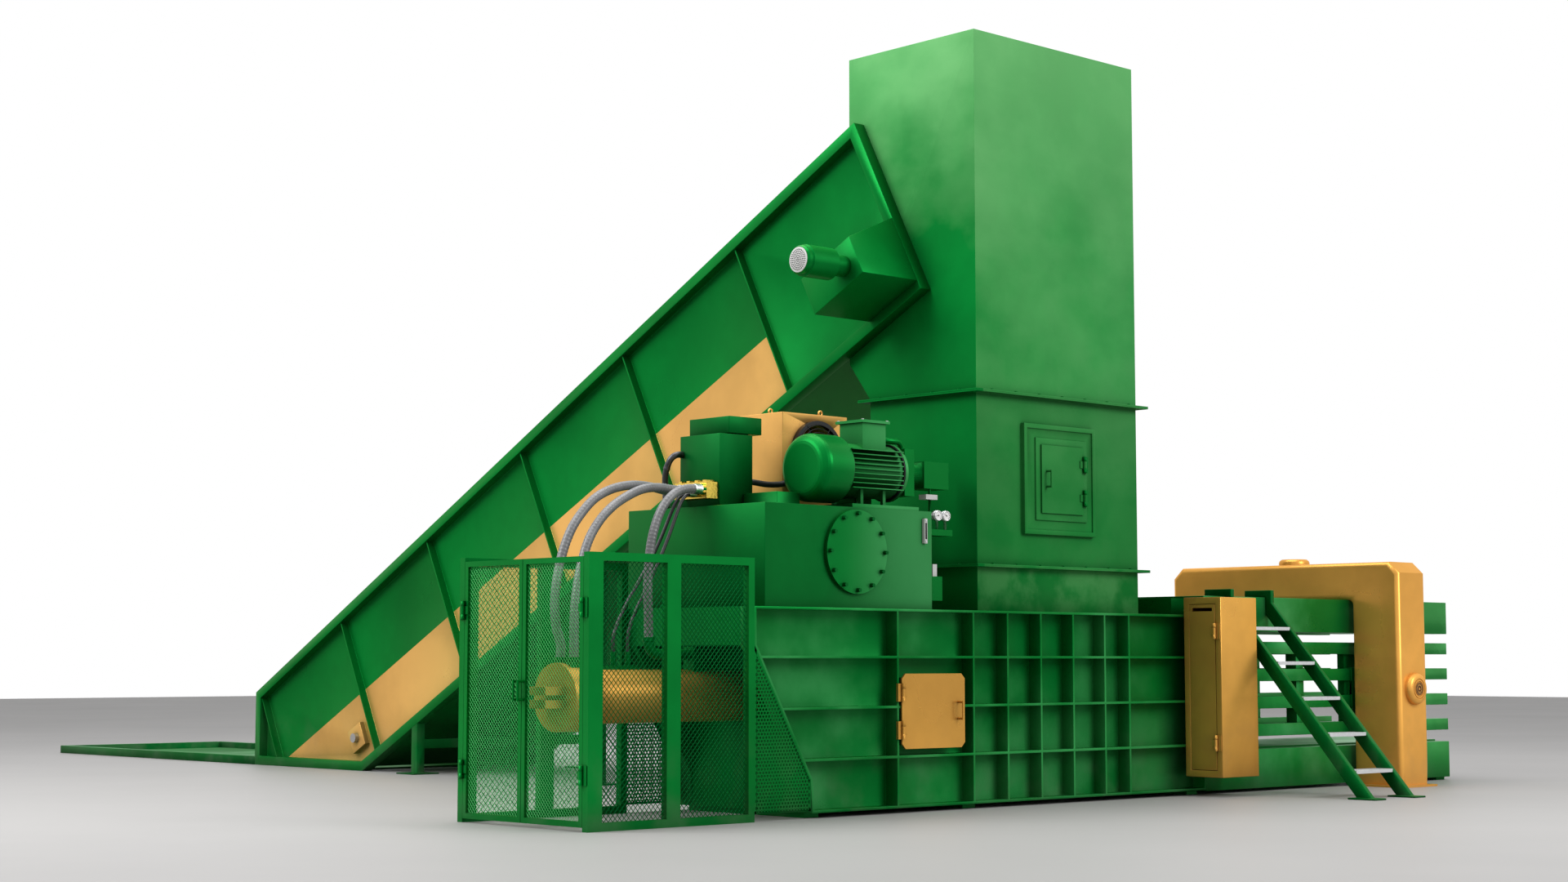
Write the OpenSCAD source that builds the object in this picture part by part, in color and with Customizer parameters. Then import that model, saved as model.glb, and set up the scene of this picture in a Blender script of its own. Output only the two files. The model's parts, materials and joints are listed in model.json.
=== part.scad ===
// Horizontal channel baler: a ram press with a feed tower and an inclined feed conveyor,
// a hydraulic power pack, a guard cage round the main cylinder, a bale channel with a
// squeeze frame, a control cabinet and a ladder. Millimetres, Z up.
// X runs along the press to the bale exit, Y runs away along the conveyor. The modules draw
// from the rear corner of the press, and place() moves them to the origin, which lies on the
// floor under the middle cross bearer.

/* [Press] */
// Length of the press body in front of the feed tower
front_len = 736; // [716:10:776]
// Width of the press body over its ribs
press_w = 1550; // [1540:10:1600]
// Height of the top of the press body
press_h = 1600; // [1590:10:1630]
// Width of the bale chamber
bore_w = 1230; // [1200:10:1236]
// Height of the chamber floor
floor_z = 400; // [396:2:410]
// Height of the chamber roof
roof_z = 1450; // [1440:2:1456]
// Thickness of the side skins
skin_t = 30; // [20:1:36]
// Thickness of the ribs
rib_t = 20; // [12:1:24]
// Height of the cross bearers
base_z = 40; // [30:5:50]
// Distance from the rear corner to the middle bearer
mid_x = 2450; // [2420:10:2480]
// Height where the slanted rear edge starts
heel_z = 1308; // [1300:4:1320]
// Distance of the foot of the slanted edge from the rear corner
toe_x = 575; // [540:5:590]
// Height of the foot of the slanted edge
toe_z = 293; // [280:5:310]
// Thickness of the floor and deck plates
deck_t = 25; // [20:1:30]

/* [Ram and main cylinder] */
// Front face of the ram at rest
ram_x = 2550; // [2540:5:2600]
// Thickness of the ram face
ram_face_t = 120; // [80:5:140]
// Wall of the ram box
ram_wall = 40; // [30:2:50]
// Outside diameter of the barrel
barrel_od = 400; // [390:2:420]
// Bore of the barrel
barrel_id = 360; // [340:2:370]
// Length of barrel behind the rear corner
barrel_rear = 1050; // [1020:10:1080]
// Length of barrel in front of the rear corner
barrel_front = 1400; // [1380:10:1420]
// Diameter of the piston rod
rod_d = 220; // [200:2:240]
// Diameter of the rear cap
cap_d = 506; // [480:2:540]
// Length of the rear cap
cap_len = 220; // [180:5:240]

/* [Guard cage] */
// Length of the cage behind the press
cage_len = 1575; // [1550:5:1600]
// Height of the cage
cage_h = 1959; // [1940:5:1980]
// Side of the cage posts
post = 60; // [50:2:80]
// Thickness of the door leaves
leaf_t = 40; // [30:2:44]
// Thickness of the mesh
mesh_t = 6; // [4:1:8]

/* [Feed tower] */
// Distance from the rear corner to the tower
tower_x = 2626; // [2610:2:2640]
// Length of the tower along the press
tower_len = 2098; // [2080:2:2120]
// Width of the tower across the press
tower_w = 1242; // [1238:2:1250]
// Thickness of the tower walls
tower_wall = 12; // [8:1:14]
// Height of the lower tower section
tower_low_h = 376; // [360:4:400]
// Height of the middle tower section
tower_mid_h = 1454; // [1440:2:1480]
// Height of the upper tower section
tower_top_h = 3068; // [3040:4:3100]
// Distance of the hood's far wall from the press centreline
hood_y = 873; // [860:1:880]
// Reach of the tower flanges
flange_w = 78; // [70:2:90]
// Thickness of one tower flange
flange_t = 12; // [10:1:16]

/* [Conveyor] */
// Slope of the conveyor
conv_angle = 27.3; // [27:0.1:27.6]
// Distance of the panel's top head corner from the press centreline
head_y = 691; // [680:1:700]
// Height of that corner above the upper tower flange
head_rise = 2458; // [2440:2:2470]
// Depth of the side panels
panel_d = 1750; // [1740:5:1780]
// Distance of the loading end from the press centreline
tail_y = 10500; // [10400:10:10600]
// Depth of the panel borders outside the tower walls
border_d = 126; // [110:2:140]
// Width of the panel borders
border_w = 100; // [80:5:110]
// Distance between the panel ribs
conv_rib_pitch = 1830; // [1800:10:1850]
// Radius of the belt drums
drum_r = 250; // [240:2:256]
// Depth of the drum axes below the panel's upper edge
drum_v = 1353; // [1345:1:1360]
// Distance of the head drum from the head edge
drum_u = 344; // [340:1:350]
// Gap between the belt's edge and the side panel
belt_gap = 74; // [60:2:100]
// Thickness of the belt
belt_t = 10; // [8:1:12]
// Height of the belt cleats
cleat_h = 60; // [50:2:66]
// Diameter of the drum shafts
shaft_d = 100; // [90:2:110]
// Length of the loading kerb
kerb_len = 4800; // [4600:20:5000]
// Height of the loading kerb
kerb_h = 95; // [80:5:110]

/* [Power pack] */
// Distance from the rear corner to the tank
tank_x = 170; // [160:2:180]
// Length of the tank
tank_len = 1830; // [1810:2:1850]
// Near face of the tank
tank_y = -700; // [-720:2:-690]
// Width of the tank
tank_w = 1620; // [1600:5:1640]
// Height of the tank
tank_h = 790; // [780:2:800]
// Diameter of the round tank cover
cover_d = 660; // [640:4:700]
// Diameter of the pump motor
motor_d = 430; // [420:2:450]
// Height of the motor axis above the tank
motor_rise = 310; // [304:2:330]

/* [Bale channel] */
// Length of the bale channel
chan_len = 4000; // [3980:10:4040]
// Height of the channel base beams
chan_base_z = 384; // [380:2:388]
// Height of the lowest bar
bar_z = 500; // [490:2:508]
// Height of a bar
bar_h = 112; // [104:2:120]
// Distance between bars
bar_pitch = 251; // [248:1:256]
// Underside of the top beams
beam_z = 1457; // [1450:1:1470]
// Top of the top beams
beam_top = 1774; // [1760:2:1790]

/* [Squeeze frame] */
// Distance from the press to the squeeze frame
portal_at = 2270; // [2240:10:2300]
// Depth of the squeeze frame along the channel
portal_d = 470; // [450:5:490]
// Width of the squeeze frame
portal_w = 2670; // [2650:10:2720]
// Height of the squeeze frame above the top beams
portal_rise = 356; // [336:4:376]
// Width of the frame's passage
portal_bore = 1660; // [1645:5:1675]
// Diameter of the plungers
plunger_d = 200; // [180:2:210]
// Diameter of the end caps
end_cap_d = 300; // [280:4:320]

/* [Control cabinet] */
// Length of the cabinet
cab_len = 525; // [510:5:545]
// Depth of the cabinet
cab_d = 405; // [395:5:420]
// Underside of the cabinet
cab_z = 170; // [160:5:190]
// Top of the cabinet
cab_top = 1750; // [1740:5:1780]

/* [Ladder] */
// Distance from the press to the ladder
ladder_at = 320; // [300:5:350]
// Width of the ladder over its stringers
ladder_w = 660; // [640:10:690]
// Distance of the ladder's foot from the press centreline
ladder_foot_y = 2220; // [2200:5:2240]
// Thickness of a stringer
stringer_t = 50; // [40:2:60]
// Number of treads
tread_n = 5; // [4:1:5]

/* [Fits] */
// Radial running clearance of shafts, pins and pistons
run_fit = 0.05; // [0.02:0.01:0.1]
// Gap between parts that slide or swing past each other
gap = 0.3; // [0.3:0.1:0.5]

/* [Hidden] */
$fn = 48;

GREEN = [0.03, 0.36, 0.12];
GOLD = [0.75, 0.50, 0.20];
BRASS = [0.80, 0.62, 0.20];
STEEL = [0.70, 0.71, 0.72];
DARK = [0.07, 0.07, 0.07];
HOSE = [0.35, 0.35, 0.36];

// Press, derived
half_w = press_w / 2;
half_bore = bore_w / 2;
press_len = tower_x + tower_len + front_len;
rib_first = 1517;
rib_bay = 2397;
rib_pitch = 416;
rib_last = 4390;
rib_x = concat([rib_first], [for (i = [0:4]) rib_bay + i * rib_pitch], [rib_last]);
rib_z = [for (i = [1:3]) base_z + i * (press_h - base_z) / 4];
bulk_x = 590;
bulk_t = 50;
bulk_top = 1385;
bearer_w = 150;
bearer_half = 670;
bearer_x = [bulk_x + 15, mid_x - bearer_w / 2, press_len - bearer_w];
cyl_z = (floor_z + roof_z) / 2;
throat_x = tower_x + tower_wall;
throat_end = tower_x + tower_len - tower_wall;
tie_x = press_len - 260;
tie_top = press_h + 150;
knife_w = 60;
knife_h = 40;

// Inspection door, derived
idoor_x = 1555;
idoor_w = 725;
idoor_z = 500;
idoor_h = 590;
idoor_t = 15;
idoor_lap = 45;
idoor_ring = 15;
idoor_cut = 40;
ring_x = [idoor_x + idoor_lap - idoor_ring, idoor_x + idoor_w - idoor_lap + idoor_ring];
ring_z = [idoor_z + idoor_lap - idoor_ring, idoor_z + idoor_h - idoor_lap + idoor_ring];

// Ram and cylinder, derived
ram_side = 10;
ram_top = roof_z - ram_side;
ram_tail = 720;
follower_x = 60;
follower_t = 35;
piston_len = 140;
piston_end = 10;
gland_len = 100;
gland_wall = 110;
collar_d = 560;
collar_t = 50;
lug_len = 180;
lug_w = 240;
lug_h = 60;
lug_gap = 36;

// Cage, derived
stile = 2 * post + 10;
cage_mid_x = -(cage_len + stile) / 2;
leaf_foot = 30;
leaf_gap = 3;
leaf_w = half_w - post - 2 * leaf_gap;
leaf_h = cage_h - 2 * leaf_foot;
guard_t = 4;

// Butt hinges
knuckle_r = 16;
pin_r = 8;
hinge_half = 70;
leaf_half = 30;
hinge_plate = 50;
hinge_plate_t = 8;

// Bar handles
grip_r = 9;
grip_len = 150;
grip_reach = 55;

// Tower, derived
tower_half = tower_w / 2;
tower_end = tower_x + tower_len;
flange_1 = press_h + tower_low_h;
flange_2 = flange_1 + tower_mid_h;
tower_top = flange_2 + tower_top_h;
lean_z = flange_2 + 20;
hood_z = flange_2 + 345;
tdoor_frame_x = 3180;
tdoor_frame_w = 930;
tdoor_frame_z = flange_1 + 280;
tdoor_frame_h = 940;
tdoor_frame_t = 40;
tdoor_x = 3385;
tdoor_w = 545;
tdoor_z = flange_1 + 464;
tdoor_h = 580;
tdoor_t = 15;
tdoor_lap = 25;
bolt_d = 18;
bolt_head_r = 15;
bolt_head_h = 11;
bolts_long = 7;
bolts_short = 4;

// Conveyor, derived
conv_x0 = tower_x - border_d;
conv_x1 = tower_end + border_d;
conv_mid = (conv_x0 + conv_x1) / 2;
belt_w = tower_len - 2 * belt_gap;
panel_t = 20;
head_z = flange_2 + head_rise;
conv_reach = 12000;
conv_rib_t = 15;
conv_rib_inset = 20;
tail_clear = 30;
tail_z = drum_r + belt_t + cleat_h + tail_clear;
tail_u = (head_z - drum_v * cos(conv_angle) - tail_z) / sin(conv_angle);
tail_axis_y = head_y + tail_u * cos(conv_angle) - drum_v * sin(conv_angle);
belt_in = drum_r + gap;
belt_out = belt_in + belt_t;
cleat_t = 20;
cleat_pitch = 800;
bearing_w = 260;
bearing_t = 60;
shaft_hole = shaft_d + 40;
bed_t = 8;
bed_u0 = 830;
pan_v = 1700;
pan_u0 = 1130;
pan_u1 = tail_u - 30;
tube_d = 80;
web_t = 12;
console_u = 650;
console_v0 = 1020;
console_v1 = 1670;
console_v2 = 1310;
console_len = 655;
console_wall = 12;
drive_u = 172;
drive_v = 1500;
drive_d = 270;
drive_len = 515;
trestle_y = [7250, 4200];
trestle_leg = 100;
trestle_foot = 160;
trestle_foot_t = 15;
kerb_w = 100;
kerb_bed_t = 20;

// Power pack, derived
tank_z = press_h + tank_h;
tank_wall = 8;
tank_end = tank_x + tank_len;
cover_x = 1125;
cover_z = press_h + 440;
cover_t = 30;
cover_hole = 520;
cover_bolt_n = 12;
vcab_x = 290;
vcab_len = 345;
vcab_y = -50;
vcab_w = 475;
vcab_h = 575;
vcab_lid = 142;
vcab_lap = 25;
vcab_neck = 8;
vcab_shift = 97;
vblock_w = 380;
vblock_d = 120;
vblock_z = tank_z + 62;
vblock_h = 128;
plinth = [[530, 770], [-450, -60], 110];
cooler_x = 1100;
cooler_len = 730;
cooler_y = 100;
cooler_w = 520;
cooler_h = 810;
cooler_foot = 50;
fan_x = 1465;
fan_z = tank_z + 480;
fan_r = 235;
fan_hole = 245;
fan_hub_r = 55;
fan_blades = 7;
fan_shaft_r = 15;
fan_in = 60;
fan_boss = 80;
shroud_r = 275;
shroud_t = 45;
motor_y = -450;
motor_z = tank_z + motor_rise;
motor_x0 = 790;
cowl_len = 320;
cowl_r = 270;
cowl_round = 85;
motor_body = 610;
fin_n = 9;
fin_t = 7;
fin_h = 34;
end_ring_r = 235;
end_ring_t = 30;
term_w = 260;
term_shift = 50;
term_top = motor_z + 380;
bell_len = 110;
coupling_len = 200;
pump_x = motor_x0 + cowl_len + motor_body + end_ring_t;

// Channel, derived
chan_x = press_len;
chan_end = chan_x + chan_len;
ring_t = 40;
hinge_x = chan_x + 140;
pivot_d = 60;
pivot_in = 50;
bar_n = 4;
bar_x0 = chan_x + 105;
bar_inset = 5;
beam_w = half_w - half_bore;
chan_foot = 30;
chan_tie = 100;
pivot_z = 1560;
platen_half = 500;
platen_z = beam_z + 8;
platen_t = 40;
platen_x0 = chan_x + 70;
pad_top = 1605;
tie_w = 40;
wall_pivot_y = half_w - beam_w / 2;
brace_x = hinge_x + portal_at * 0.58;

// Squeeze frame, derived
portal_x = chan_x + portal_at;
portal_mid = portal_x + portal_d / 2;
portal_half = portal_w / 2;
portal_h = beam_top + portal_rise;
plunger_room = 96;
passage_half = portal_bore / 2;
portal_wall = 20;
bush_t = 40;
portal_cut_y = 110;
portal_cut_z = 105;
foot_t = 20;
foot_lip = 50;
anchor_d = 26;
anchor_inset = 25;
plunger_len = 470;
cap_rise = 60;
cap_ring_n = 4;

// Cabinet, derived
cab_x = press_len - 290;
cab_wall = 20;
cab_lip = 60;
cab_gap = 4;
cab_door_t = 20;

// Ladder, derived
ladder_x = press_len + ladder_at;
ladder_slope = 1.183;
stringer_half = 92;
stub_y = 545;
stub_h = 66;
tread_rise = 313;
tread_first = 245;
tread_d = 180;
tread_t = 30;

// Hose routes, from the rear corner of the press
hose_d = 72;
pilot_d = 28;
small_d = 50;
ROUTE_REAR_A = [[140, 290, 2520], [10, 290, 2520], [-150, 280, 2540], [-350, 255, 2540],
    [-560, 225, 2500], [-750, 195, 2420], [-900, 170, 2300], [-1020, 150, 2160], [-1110, 135, 1980],
    [-1170, 120, 1780], [-1195, 108, 1600], [-1190, 95, 1440], [-1160, 80, 1320], [-1160, 80, 1220]];
ROUTE_REAR_B = [[140, 190, 2520], [10, 190, 2520], [-140, 180, 2528], [-310, 155, 2508],
    [-480, 125, 2450], [-660, 90, 2360], [-820, 55, 2240], [-950, 20, 2090], [-1040, -10, 1910],
    [-1100, -35, 1730], [-1140, -58, 1550], [-1155, -73, 1420], [-1160, -80, 1310],
    [-1160, -80, 1220]];
ROUTE_FRONT = [[140, 10, 2520], [40, 10, 2520], [-70, 5, 2500], [-170, -2, 2445], [-255, -8, 2360],
    [-325, -14, 2240], [-375, -18, 2090], [-400, -20, 1930], [-410, -20, 1760], [-405, -20, 1600],
    [-400, -20, 1480], [-400, -20, 1370]];
ROUTE_PILOT_A = [[140, 60, 2480], [80, 60, 2480], [25, 60, 2458], [-20, 60, 2400], [-65, 62, 2300],
    [-125, 65, 2160], [-205, 68, 1995], [-300, 72, 1820], [-400, 76, 1650], [-485, 78, 1490],
    [-520, 80, 1370], [-520, 80, 1260]];
ROUTE_PILOT_B = [[140, 120, 2480], [80, 120, 2480], [25, 121, 2458], [-20, 124, 2400],
    [-70, 130, 2300], [-135, 138, 2160], [-225, 145, 1995], [-340, 150, 1820], [-460, 150, 1650],
    [-560, 145, 1490], [-620, 130, 1370], [-620, 130, 1260]];
ROUTE_TANK = [[290, 400, 2820], [255, 400, 2820], [215, 408, 2808], [190, 430, 2775], [184, 460, 2720],
    [190, 490, 2650], [205, 508, 2570], [215, 515, 2500], [215, 515, 2430]];
ROUTE_COOLER = [[635, 0, 2600], [700, 0, 2600], [820, -6, 2590], [940, -8, 2594], [1045, -2, 2612],
    [1110, 22, 2626], [1139, 62, 2630], [1140, 99.3, 2630]];

// Moves a shape from the rear corner of the press to the part's origin
module place() {
    translate([-mid_x, 0, 0])
        children();
}

// Box from three pairs of limits
module span(x, y, z) {
    translate([x[0], y[0], z[0]])
        cube([x[1] - x[0], y[1] - y[0], z[1] - z[0]]);
}

// Extrudes an outline in (X, Z) from y0 to y1
module along_y(y0, y1) {
    translate([0, y1, 0])
        rotate([90, 0, 0])
            linear_extrude(y1 - y0)
                children();
}

// Extrudes an outline in (Y, Z) from x0 to x1
module along_x(x0, x1) {
    translate([x0, 0, 0])
        rotate([90, 0, 90])
            linear_extrude(x1 - x0)
                children();
}

// Round bar along X from x0 to x1
module rod_x(x0, x1, d) {
    translate([x0, 0, 0])
        rotate([0, 90, 0])
            cylinder(h = x1 - x0, d = d);
}

// Round bar along Y from y0 to y1
module rod_y(y0, y1, d) {
    translate([0, y0, 0])
        rotate([-90, 0, 0])
            cylinder(h = y1 - y0, d = d);
}

// Draws a shape and its mirror image across the press centreline
module both_sides() {
    children();
    mirror([0, 1, 0])
        children();
}

// Fixed half of a butt hinge with its pin; the face it sits on is knuckle_r + seat below the axis
module hinge_fixed(seat = 0) {
    cylinder(h = 2 * hinge_half, r = pin_r, center = true);
    for (side = [0, 1])
        mirror([0, 0, side]) {
            translate([0, 0, leaf_half])
                cylinder(h = hinge_half - leaf_half, r = knuckle_r);
            span([-knuckle_r - 1, 0], [-knuckle_r - seat, -knuckle_r + hinge_plate_t],
                [leaf_half, hinge_half]);
        }
    span([-hinge_plate, -knuckle_r - 1], [-knuckle_r - seat, -knuckle_r + hinge_plate_t],
        [-hinge_half, hinge_half]);
}

// Moving half of a butt hinge
module hinge_leaf() {
    half = leaf_half - gap;
    difference() {
        union() {
            cylinder(h = 2 * half, r = knuckle_r, center = true);
            span([0, hinge_plate], [-knuckle_r, -knuckle_r + hinge_plate_t], [-half, half]);
        }
        cylinder(h = 4 * half, r = pin_r + run_fit, center = true);
    }
}

// Upright bar handle standing out along -Y from the origin
module bar_handle() {
    translate([0, -grip_reach, -grip_len / 2])
        cylinder(h = grip_len, r = grip_r);
    for (z = [-1, 1])
        translate([0, 0, z * (grip_len / 2 - grip_r)])
            rod_y(-grip_reach, 0, 2 * grip_r);
}

// Sheet of diamond mesh in the X-Z plane, from the origin
module mesh_sheet(w, h, nx, nz) {
    strand = 0.12;
    dx = w / nx;
    dz = h / nz;
    along_y(0, mesh_t)
        difference() {
            square([w, h]);
            for (i = [0:nx - 1], k = [0:nz - 1])
                translate([(i + 0.5) * dx, (k + 0.5) * dz])
                    diamond(dx * (0.5 - strand), dz * (0.5 - strand));
            for (i = [1:nx - 1], k = [1:nz - 1])
                translate([i * dx, k * dz])
                    diamond(dx * (0.5 - strand), dz * (0.5 - strand));
        }
}

module diamond(a, b) {
    polygon([[-a, 0], [0, -b], [a, 0], [0, b]]);
}

// Hex head and shank of a bolt; the shank runs down from the origin
module bolt(grip) {
    cylinder(h = bolt_head_h, r = bolt_head_r, $fn = 6);
    translate([0, 0, -grip])
        cylinder(h = grip, d = bolt_d);
}

// Places of the bolts on one tower flange
function flange_bolt_places() = concat(
    [for (i = [0:bolts_long - 1], s = [-1, 1])
        [tower_x + (i + 0.5) * tower_len / bolts_long, s * (tower_half + flange_w / 2)]],
    [for (i = [0:bolts_short - 1], x = [tower_x - flange_w / 2, tower_end + flange_w / 2])
        [x, (i + 0.5 - bolts_short / 2) * tower_w / bolts_short]]);

// Tube of diameter d swept along points that keep clear of the Y direction
function unit(v) = v / norm(v);
function tangent(p, i) = unit(p[min(i + 1, len(p) - 1)] - p[max(i - 1, 0)]);
function ring_point(p, i, a, r) =
    let (t = tangent(p, i), n = unit(cross(t, [0, 1, 0])), b = cross(t, n))
    p[i] + r * (cos(a) * n + sin(a) * b);
module swept_hose(p, d) {
    sides = 10;
    n = len(p);
    polyhedron(
        points = [for (i = [0:n - 1], k = [0:sides - 1]) ring_point(p, i, k * 360 / sides, d / 2)],
        faces = concat(
            [[for (k = [0:sides - 1]) k]],
            [for (i = [0:n - 2], k = [0:sides - 1])
                [i * sides + k, (i + 1) * sides + k, (i + 1) * sides + (k + 1) % sides,
                    i * sides + (k + 1) % sides]],
            [[for (k = [sides - 1:-1:0]) (n - 1) * sides + k]]));
}

// Press body

module side_outline() {
    polygon([[0, press_h], [0, heel_z], [toe_x, toe_z], [bulk_x, base_z], [press_len, base_z],
        [press_len, press_h]]);
}

// Outline of the bays between the ribs of one side; the ring stands round the inspection opening
module side_bays(ring) {
    lead = rib_t / sin(atan2(heel_z - toe_z, toe_x));
    inner_heel = heel_z + (lead - rib_t) * (heel_z - toe_z) / toe_x;
    difference() {
        polygon([[rib_t, press_h - rib_t], [rib_t, inner_heel], [toe_x + lead, toe_z],
            [bulk_x + lead, base_z + rib_t], [press_len - rib_t, base_z + rib_t],
            [press_len - rib_t, press_h - rib_t]]);
        for (x = rib_x)
            translate([x, 0])
                square([rib_t, press_h]);
        for (z = rib_z)
            translate([0, z])
                square([press_len, rib_t]);
        if (ring)
            translate([ring_x[0], ring_z[0]])
                square([ring_x[1] - ring_x[0], ring_z[1] - ring_z[0]]);
    }
}

module press_wall(ring) {
    difference() {
        along_y(-half_w, -half_bore)
            side_outline();
        along_y(-half_w - 1, -half_bore - skin_t)
            side_bays(ring);
    }
}

module press_walls() {
    place() color(GREEN) {
        difference() {
            press_wall(true);
            span([ring_x[0] + idoor_ring, ring_x[1] - idoor_ring], [-half_w - 1, -half_bore + 1],
                [ring_z[0] + idoor_ring, ring_z[1] - idoor_ring]);
        }
        mirror([0, 1, 0])
            press_wall(false);
    }
}

module press_floor() {
    x = [bulk_x + bulk_t, press_len];
    place() color(GREEN) {
        span(x, [-half_bore, half_bore], [floor_z - deck_t, floor_z]);
        for (y = [-half_bore + rib_t, -rib_t / 2, half_bore - 2 * rib_t])
            span(x, [y, y + rib_t], [base_z, floor_z - deck_t]);
    }
}

// Deck made of two plates joined by webs along X
module deck_box(x) {
    span(x, [-half_bore, half_bore], [press_h - deck_t, press_h]);
    span(x, [-half_bore, half_bore], [roof_z, roof_z + rib_t]);
    for (y = [-half_bore, -rib_t / 2, half_bore - rib_t])
        span(x, [y, y + rib_t], [roof_z, press_h]);
}

module press_roof() {
    place() color(GREEN) {
        deck_box([0, throat_x]);
        span([0, rib_t], [-half_bore, half_bore], [heel_z, press_h]);
        deck_box([throat_end, press_len]);
        span([tie_x, press_len], [-half_bore, half_bore], [press_h, tie_top]);
        span([throat_end - knife_w, throat_end], [-half_bore, half_bore], [roof_z, roof_z + knife_h]);
    }
}

module rear_bulkhead() {
    place() color(GREEN)
        difference() {
            span([bulk_x, bulk_x + bulk_t], [-half_bore, half_bore], [base_z, bulk_top]);
            translate([0, 0, cyl_z])
                rod_x(bulk_x - 1, bulk_x + bulk_t + 1, barrel_od + 2 * gap);
        }
}

module base_bearers() {
    place() color(GREEN)
        for (x = bearer_x)
            span([x, x + bearer_w], [-bearer_half, bearer_half], [0, base_z]);
}

// Ram and main cylinder

module ram_body() {
    half = half_bore - ram_side;
    box_x = [ram_tail, ram_x - ram_face_t];
    low = floor_z + gap;
    place() color(STEEL) {
        span([ram_x - ram_face_t, ram_x], [-half, half], [low, ram_top]);
        span(box_x, [-half, half], [low, low + ram_wall]);
        span([follower_x, ram_x - ram_face_t], [-half, half], [ram_top - follower_t, ram_top]);
        for (y = [-half, half - ram_wall])
            span(box_x, [y, y + ram_wall], [low, ram_top]);
        difference() {
            span([box_x[1] - 3 * ram_wall, box_x[1] - 2 * ram_wall], [-half, half], [low, ram_top]);
            translate([0, 0, cyl_z])
                rod_x(0, ram_x, rod_d + 2 * ram_wall);
        }
    }
}

module piston_rod() {
    place() color(STEEL) translate([0, 0, cyl_z]) {
        rod_x(-barrel_rear + piston_end, -barrel_rear + piston_end + piston_len, barrel_id - 2 * run_fit);
        rod_x(-barrel_rear + piston_end, ram_x - ram_face_t, rod_d);
    }
}

module main_cylinder() {
    cap_x = -barrel_rear - cap_len;
    place() color(GOLD) translate([0, 0, cyl_z]) {
        difference() {
            union() {
                rod_x(-barrel_rear, barrel_front, barrel_od);
                rod_x(bulk_x + bulk_t, bulk_x + bulk_t + collar_t, collar_d);
                rod_x(barrel_front, barrel_front + gland_len, rod_d + 2 * gland_wall);
            }
            rod_x(-barrel_rear - 1, barrel_front, barrel_id);
            rod_x(barrel_front - 1, barrel_front + gland_len + 1, rod_d + 2 * run_fit);
        }
        difference() {
            union() {
                rod_x(cap_x, -barrel_rear, cap_d);
                rod_x(-barrel_rear, -barrel_rear + lug_h, cap_d);
                for (z = [-lug_gap / 2 - lug_h, lug_gap / 2])
                    span([cap_x - lug_len, cap_x], [-lug_w / 2, lug_w / 2], [z, z + lug_h]);
            }
            rod_x(-barrel_rear, -barrel_rear + lug_h + 1, barrel_od);
        }
    }
}

// Guard cage

module cage_frame() {
    place() color(GREEN)
        both_sides() {
            y = [-half_w, -half_w + post];
            for (x = [[-cage_len, stile], [cage_mid_x, stile], [-post, post]])
                span([x[0], x[0] + x[1]], y, [0, cage_h]);
            for (z = [0, cage_h - post])
                span([-cage_len, 0], y, [z, z + post]);
        }
}

module cage_mesh() {
    bays = [[-cage_len + stile, cage_mid_x], [cage_mid_x + stile, -post]];
    h = cage_h - 2 * post;
    place() color(GREEN)
        both_sides() {
            for (b = bays)
                translate([b[0], -half_w + post / 2, post])
                    mesh_sheet(b[1] - b[0], h, 5, 12);
            guard_sheet();
        }
}

// Perforated sheet that closes the triangle under the slanted rear edge
module guard_sheet() {
    rows = 9;
    hole_r = 22;
    low = 60;
    dz = (heel_z - low) / (rows + 1);
    along_y(-half_w, -half_w + guard_t)
        difference() {
            polygon([[0, low], [0, heel_z], [toe_x, toe_z], [toe_x, low]]);
            for (k = [1:rows]) {
                z = low + k * dz;
                reach = min(toe_x, toe_x * (heel_z - z) / (heel_z - toe_z));
                n = floor(reach / dz - 0.4);
                if (n > 0)
                    for (i = [1:n])
                        translate([i * dz * 0.9, z])
                            circle(hole_r);
            }
        }
}

// Door leaf in the Y-Z plane, hinged at the near post
module cage_leaf() {
    x = [-cage_len, -cage_len + leaf_t];
    y0 = -half_w + post + leaf_gap;
    difference() {
        span(x, [y0, y0 + leaf_w], [leaf_foot, leaf_foot + leaf_h]);
        span([x[0] - 1, x[1] + 1], [y0 + leaf_t, y0 + leaf_w - leaf_t],
            [leaf_foot + leaf_t, leaf_foot + leaf_h - leaf_t]);
    }
    for (z = cage_hinge_z())
        translate([-cage_len - knuckle_r, -half_w + post, z])
            rotate([0, 0, 90])
                hinge_leaf();
    translate([-cage_len, -leaf_gap * 2 - leaf_t / 2, cage_h / 2])
        rotate([0, 0, -90])
            bar_handle();
}

function cage_hinge_z() = [cage_h / 5, cage_h * 4 / 5];

module cage_leaf_mesh() {
    y0 = -half_w + post + leaf_gap + leaf_t;
    translate([-cage_len + leaf_t / 2 + mesh_t, y0, leaf_foot + leaf_t])
        rotate([0, 0, 90])
            mesh_sheet(leaf_w - 2 * leaf_t, leaf_h - 2 * leaf_t, 5, 12);
}

module cage_door_near() {
    place() color(GREEN)
        cage_leaf();
}

module cage_door_near_mesh() {
    place() color(GREEN)
        cage_leaf_mesh();
}

module cage_door_far() {
    place() color(GREEN)
        mirror([0, 1, 0])
            cage_leaf();
}

module cage_door_far_mesh() {
    place() color(GREEN)
        mirror([0, 1, 0])
            cage_leaf_mesh();
}

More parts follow.
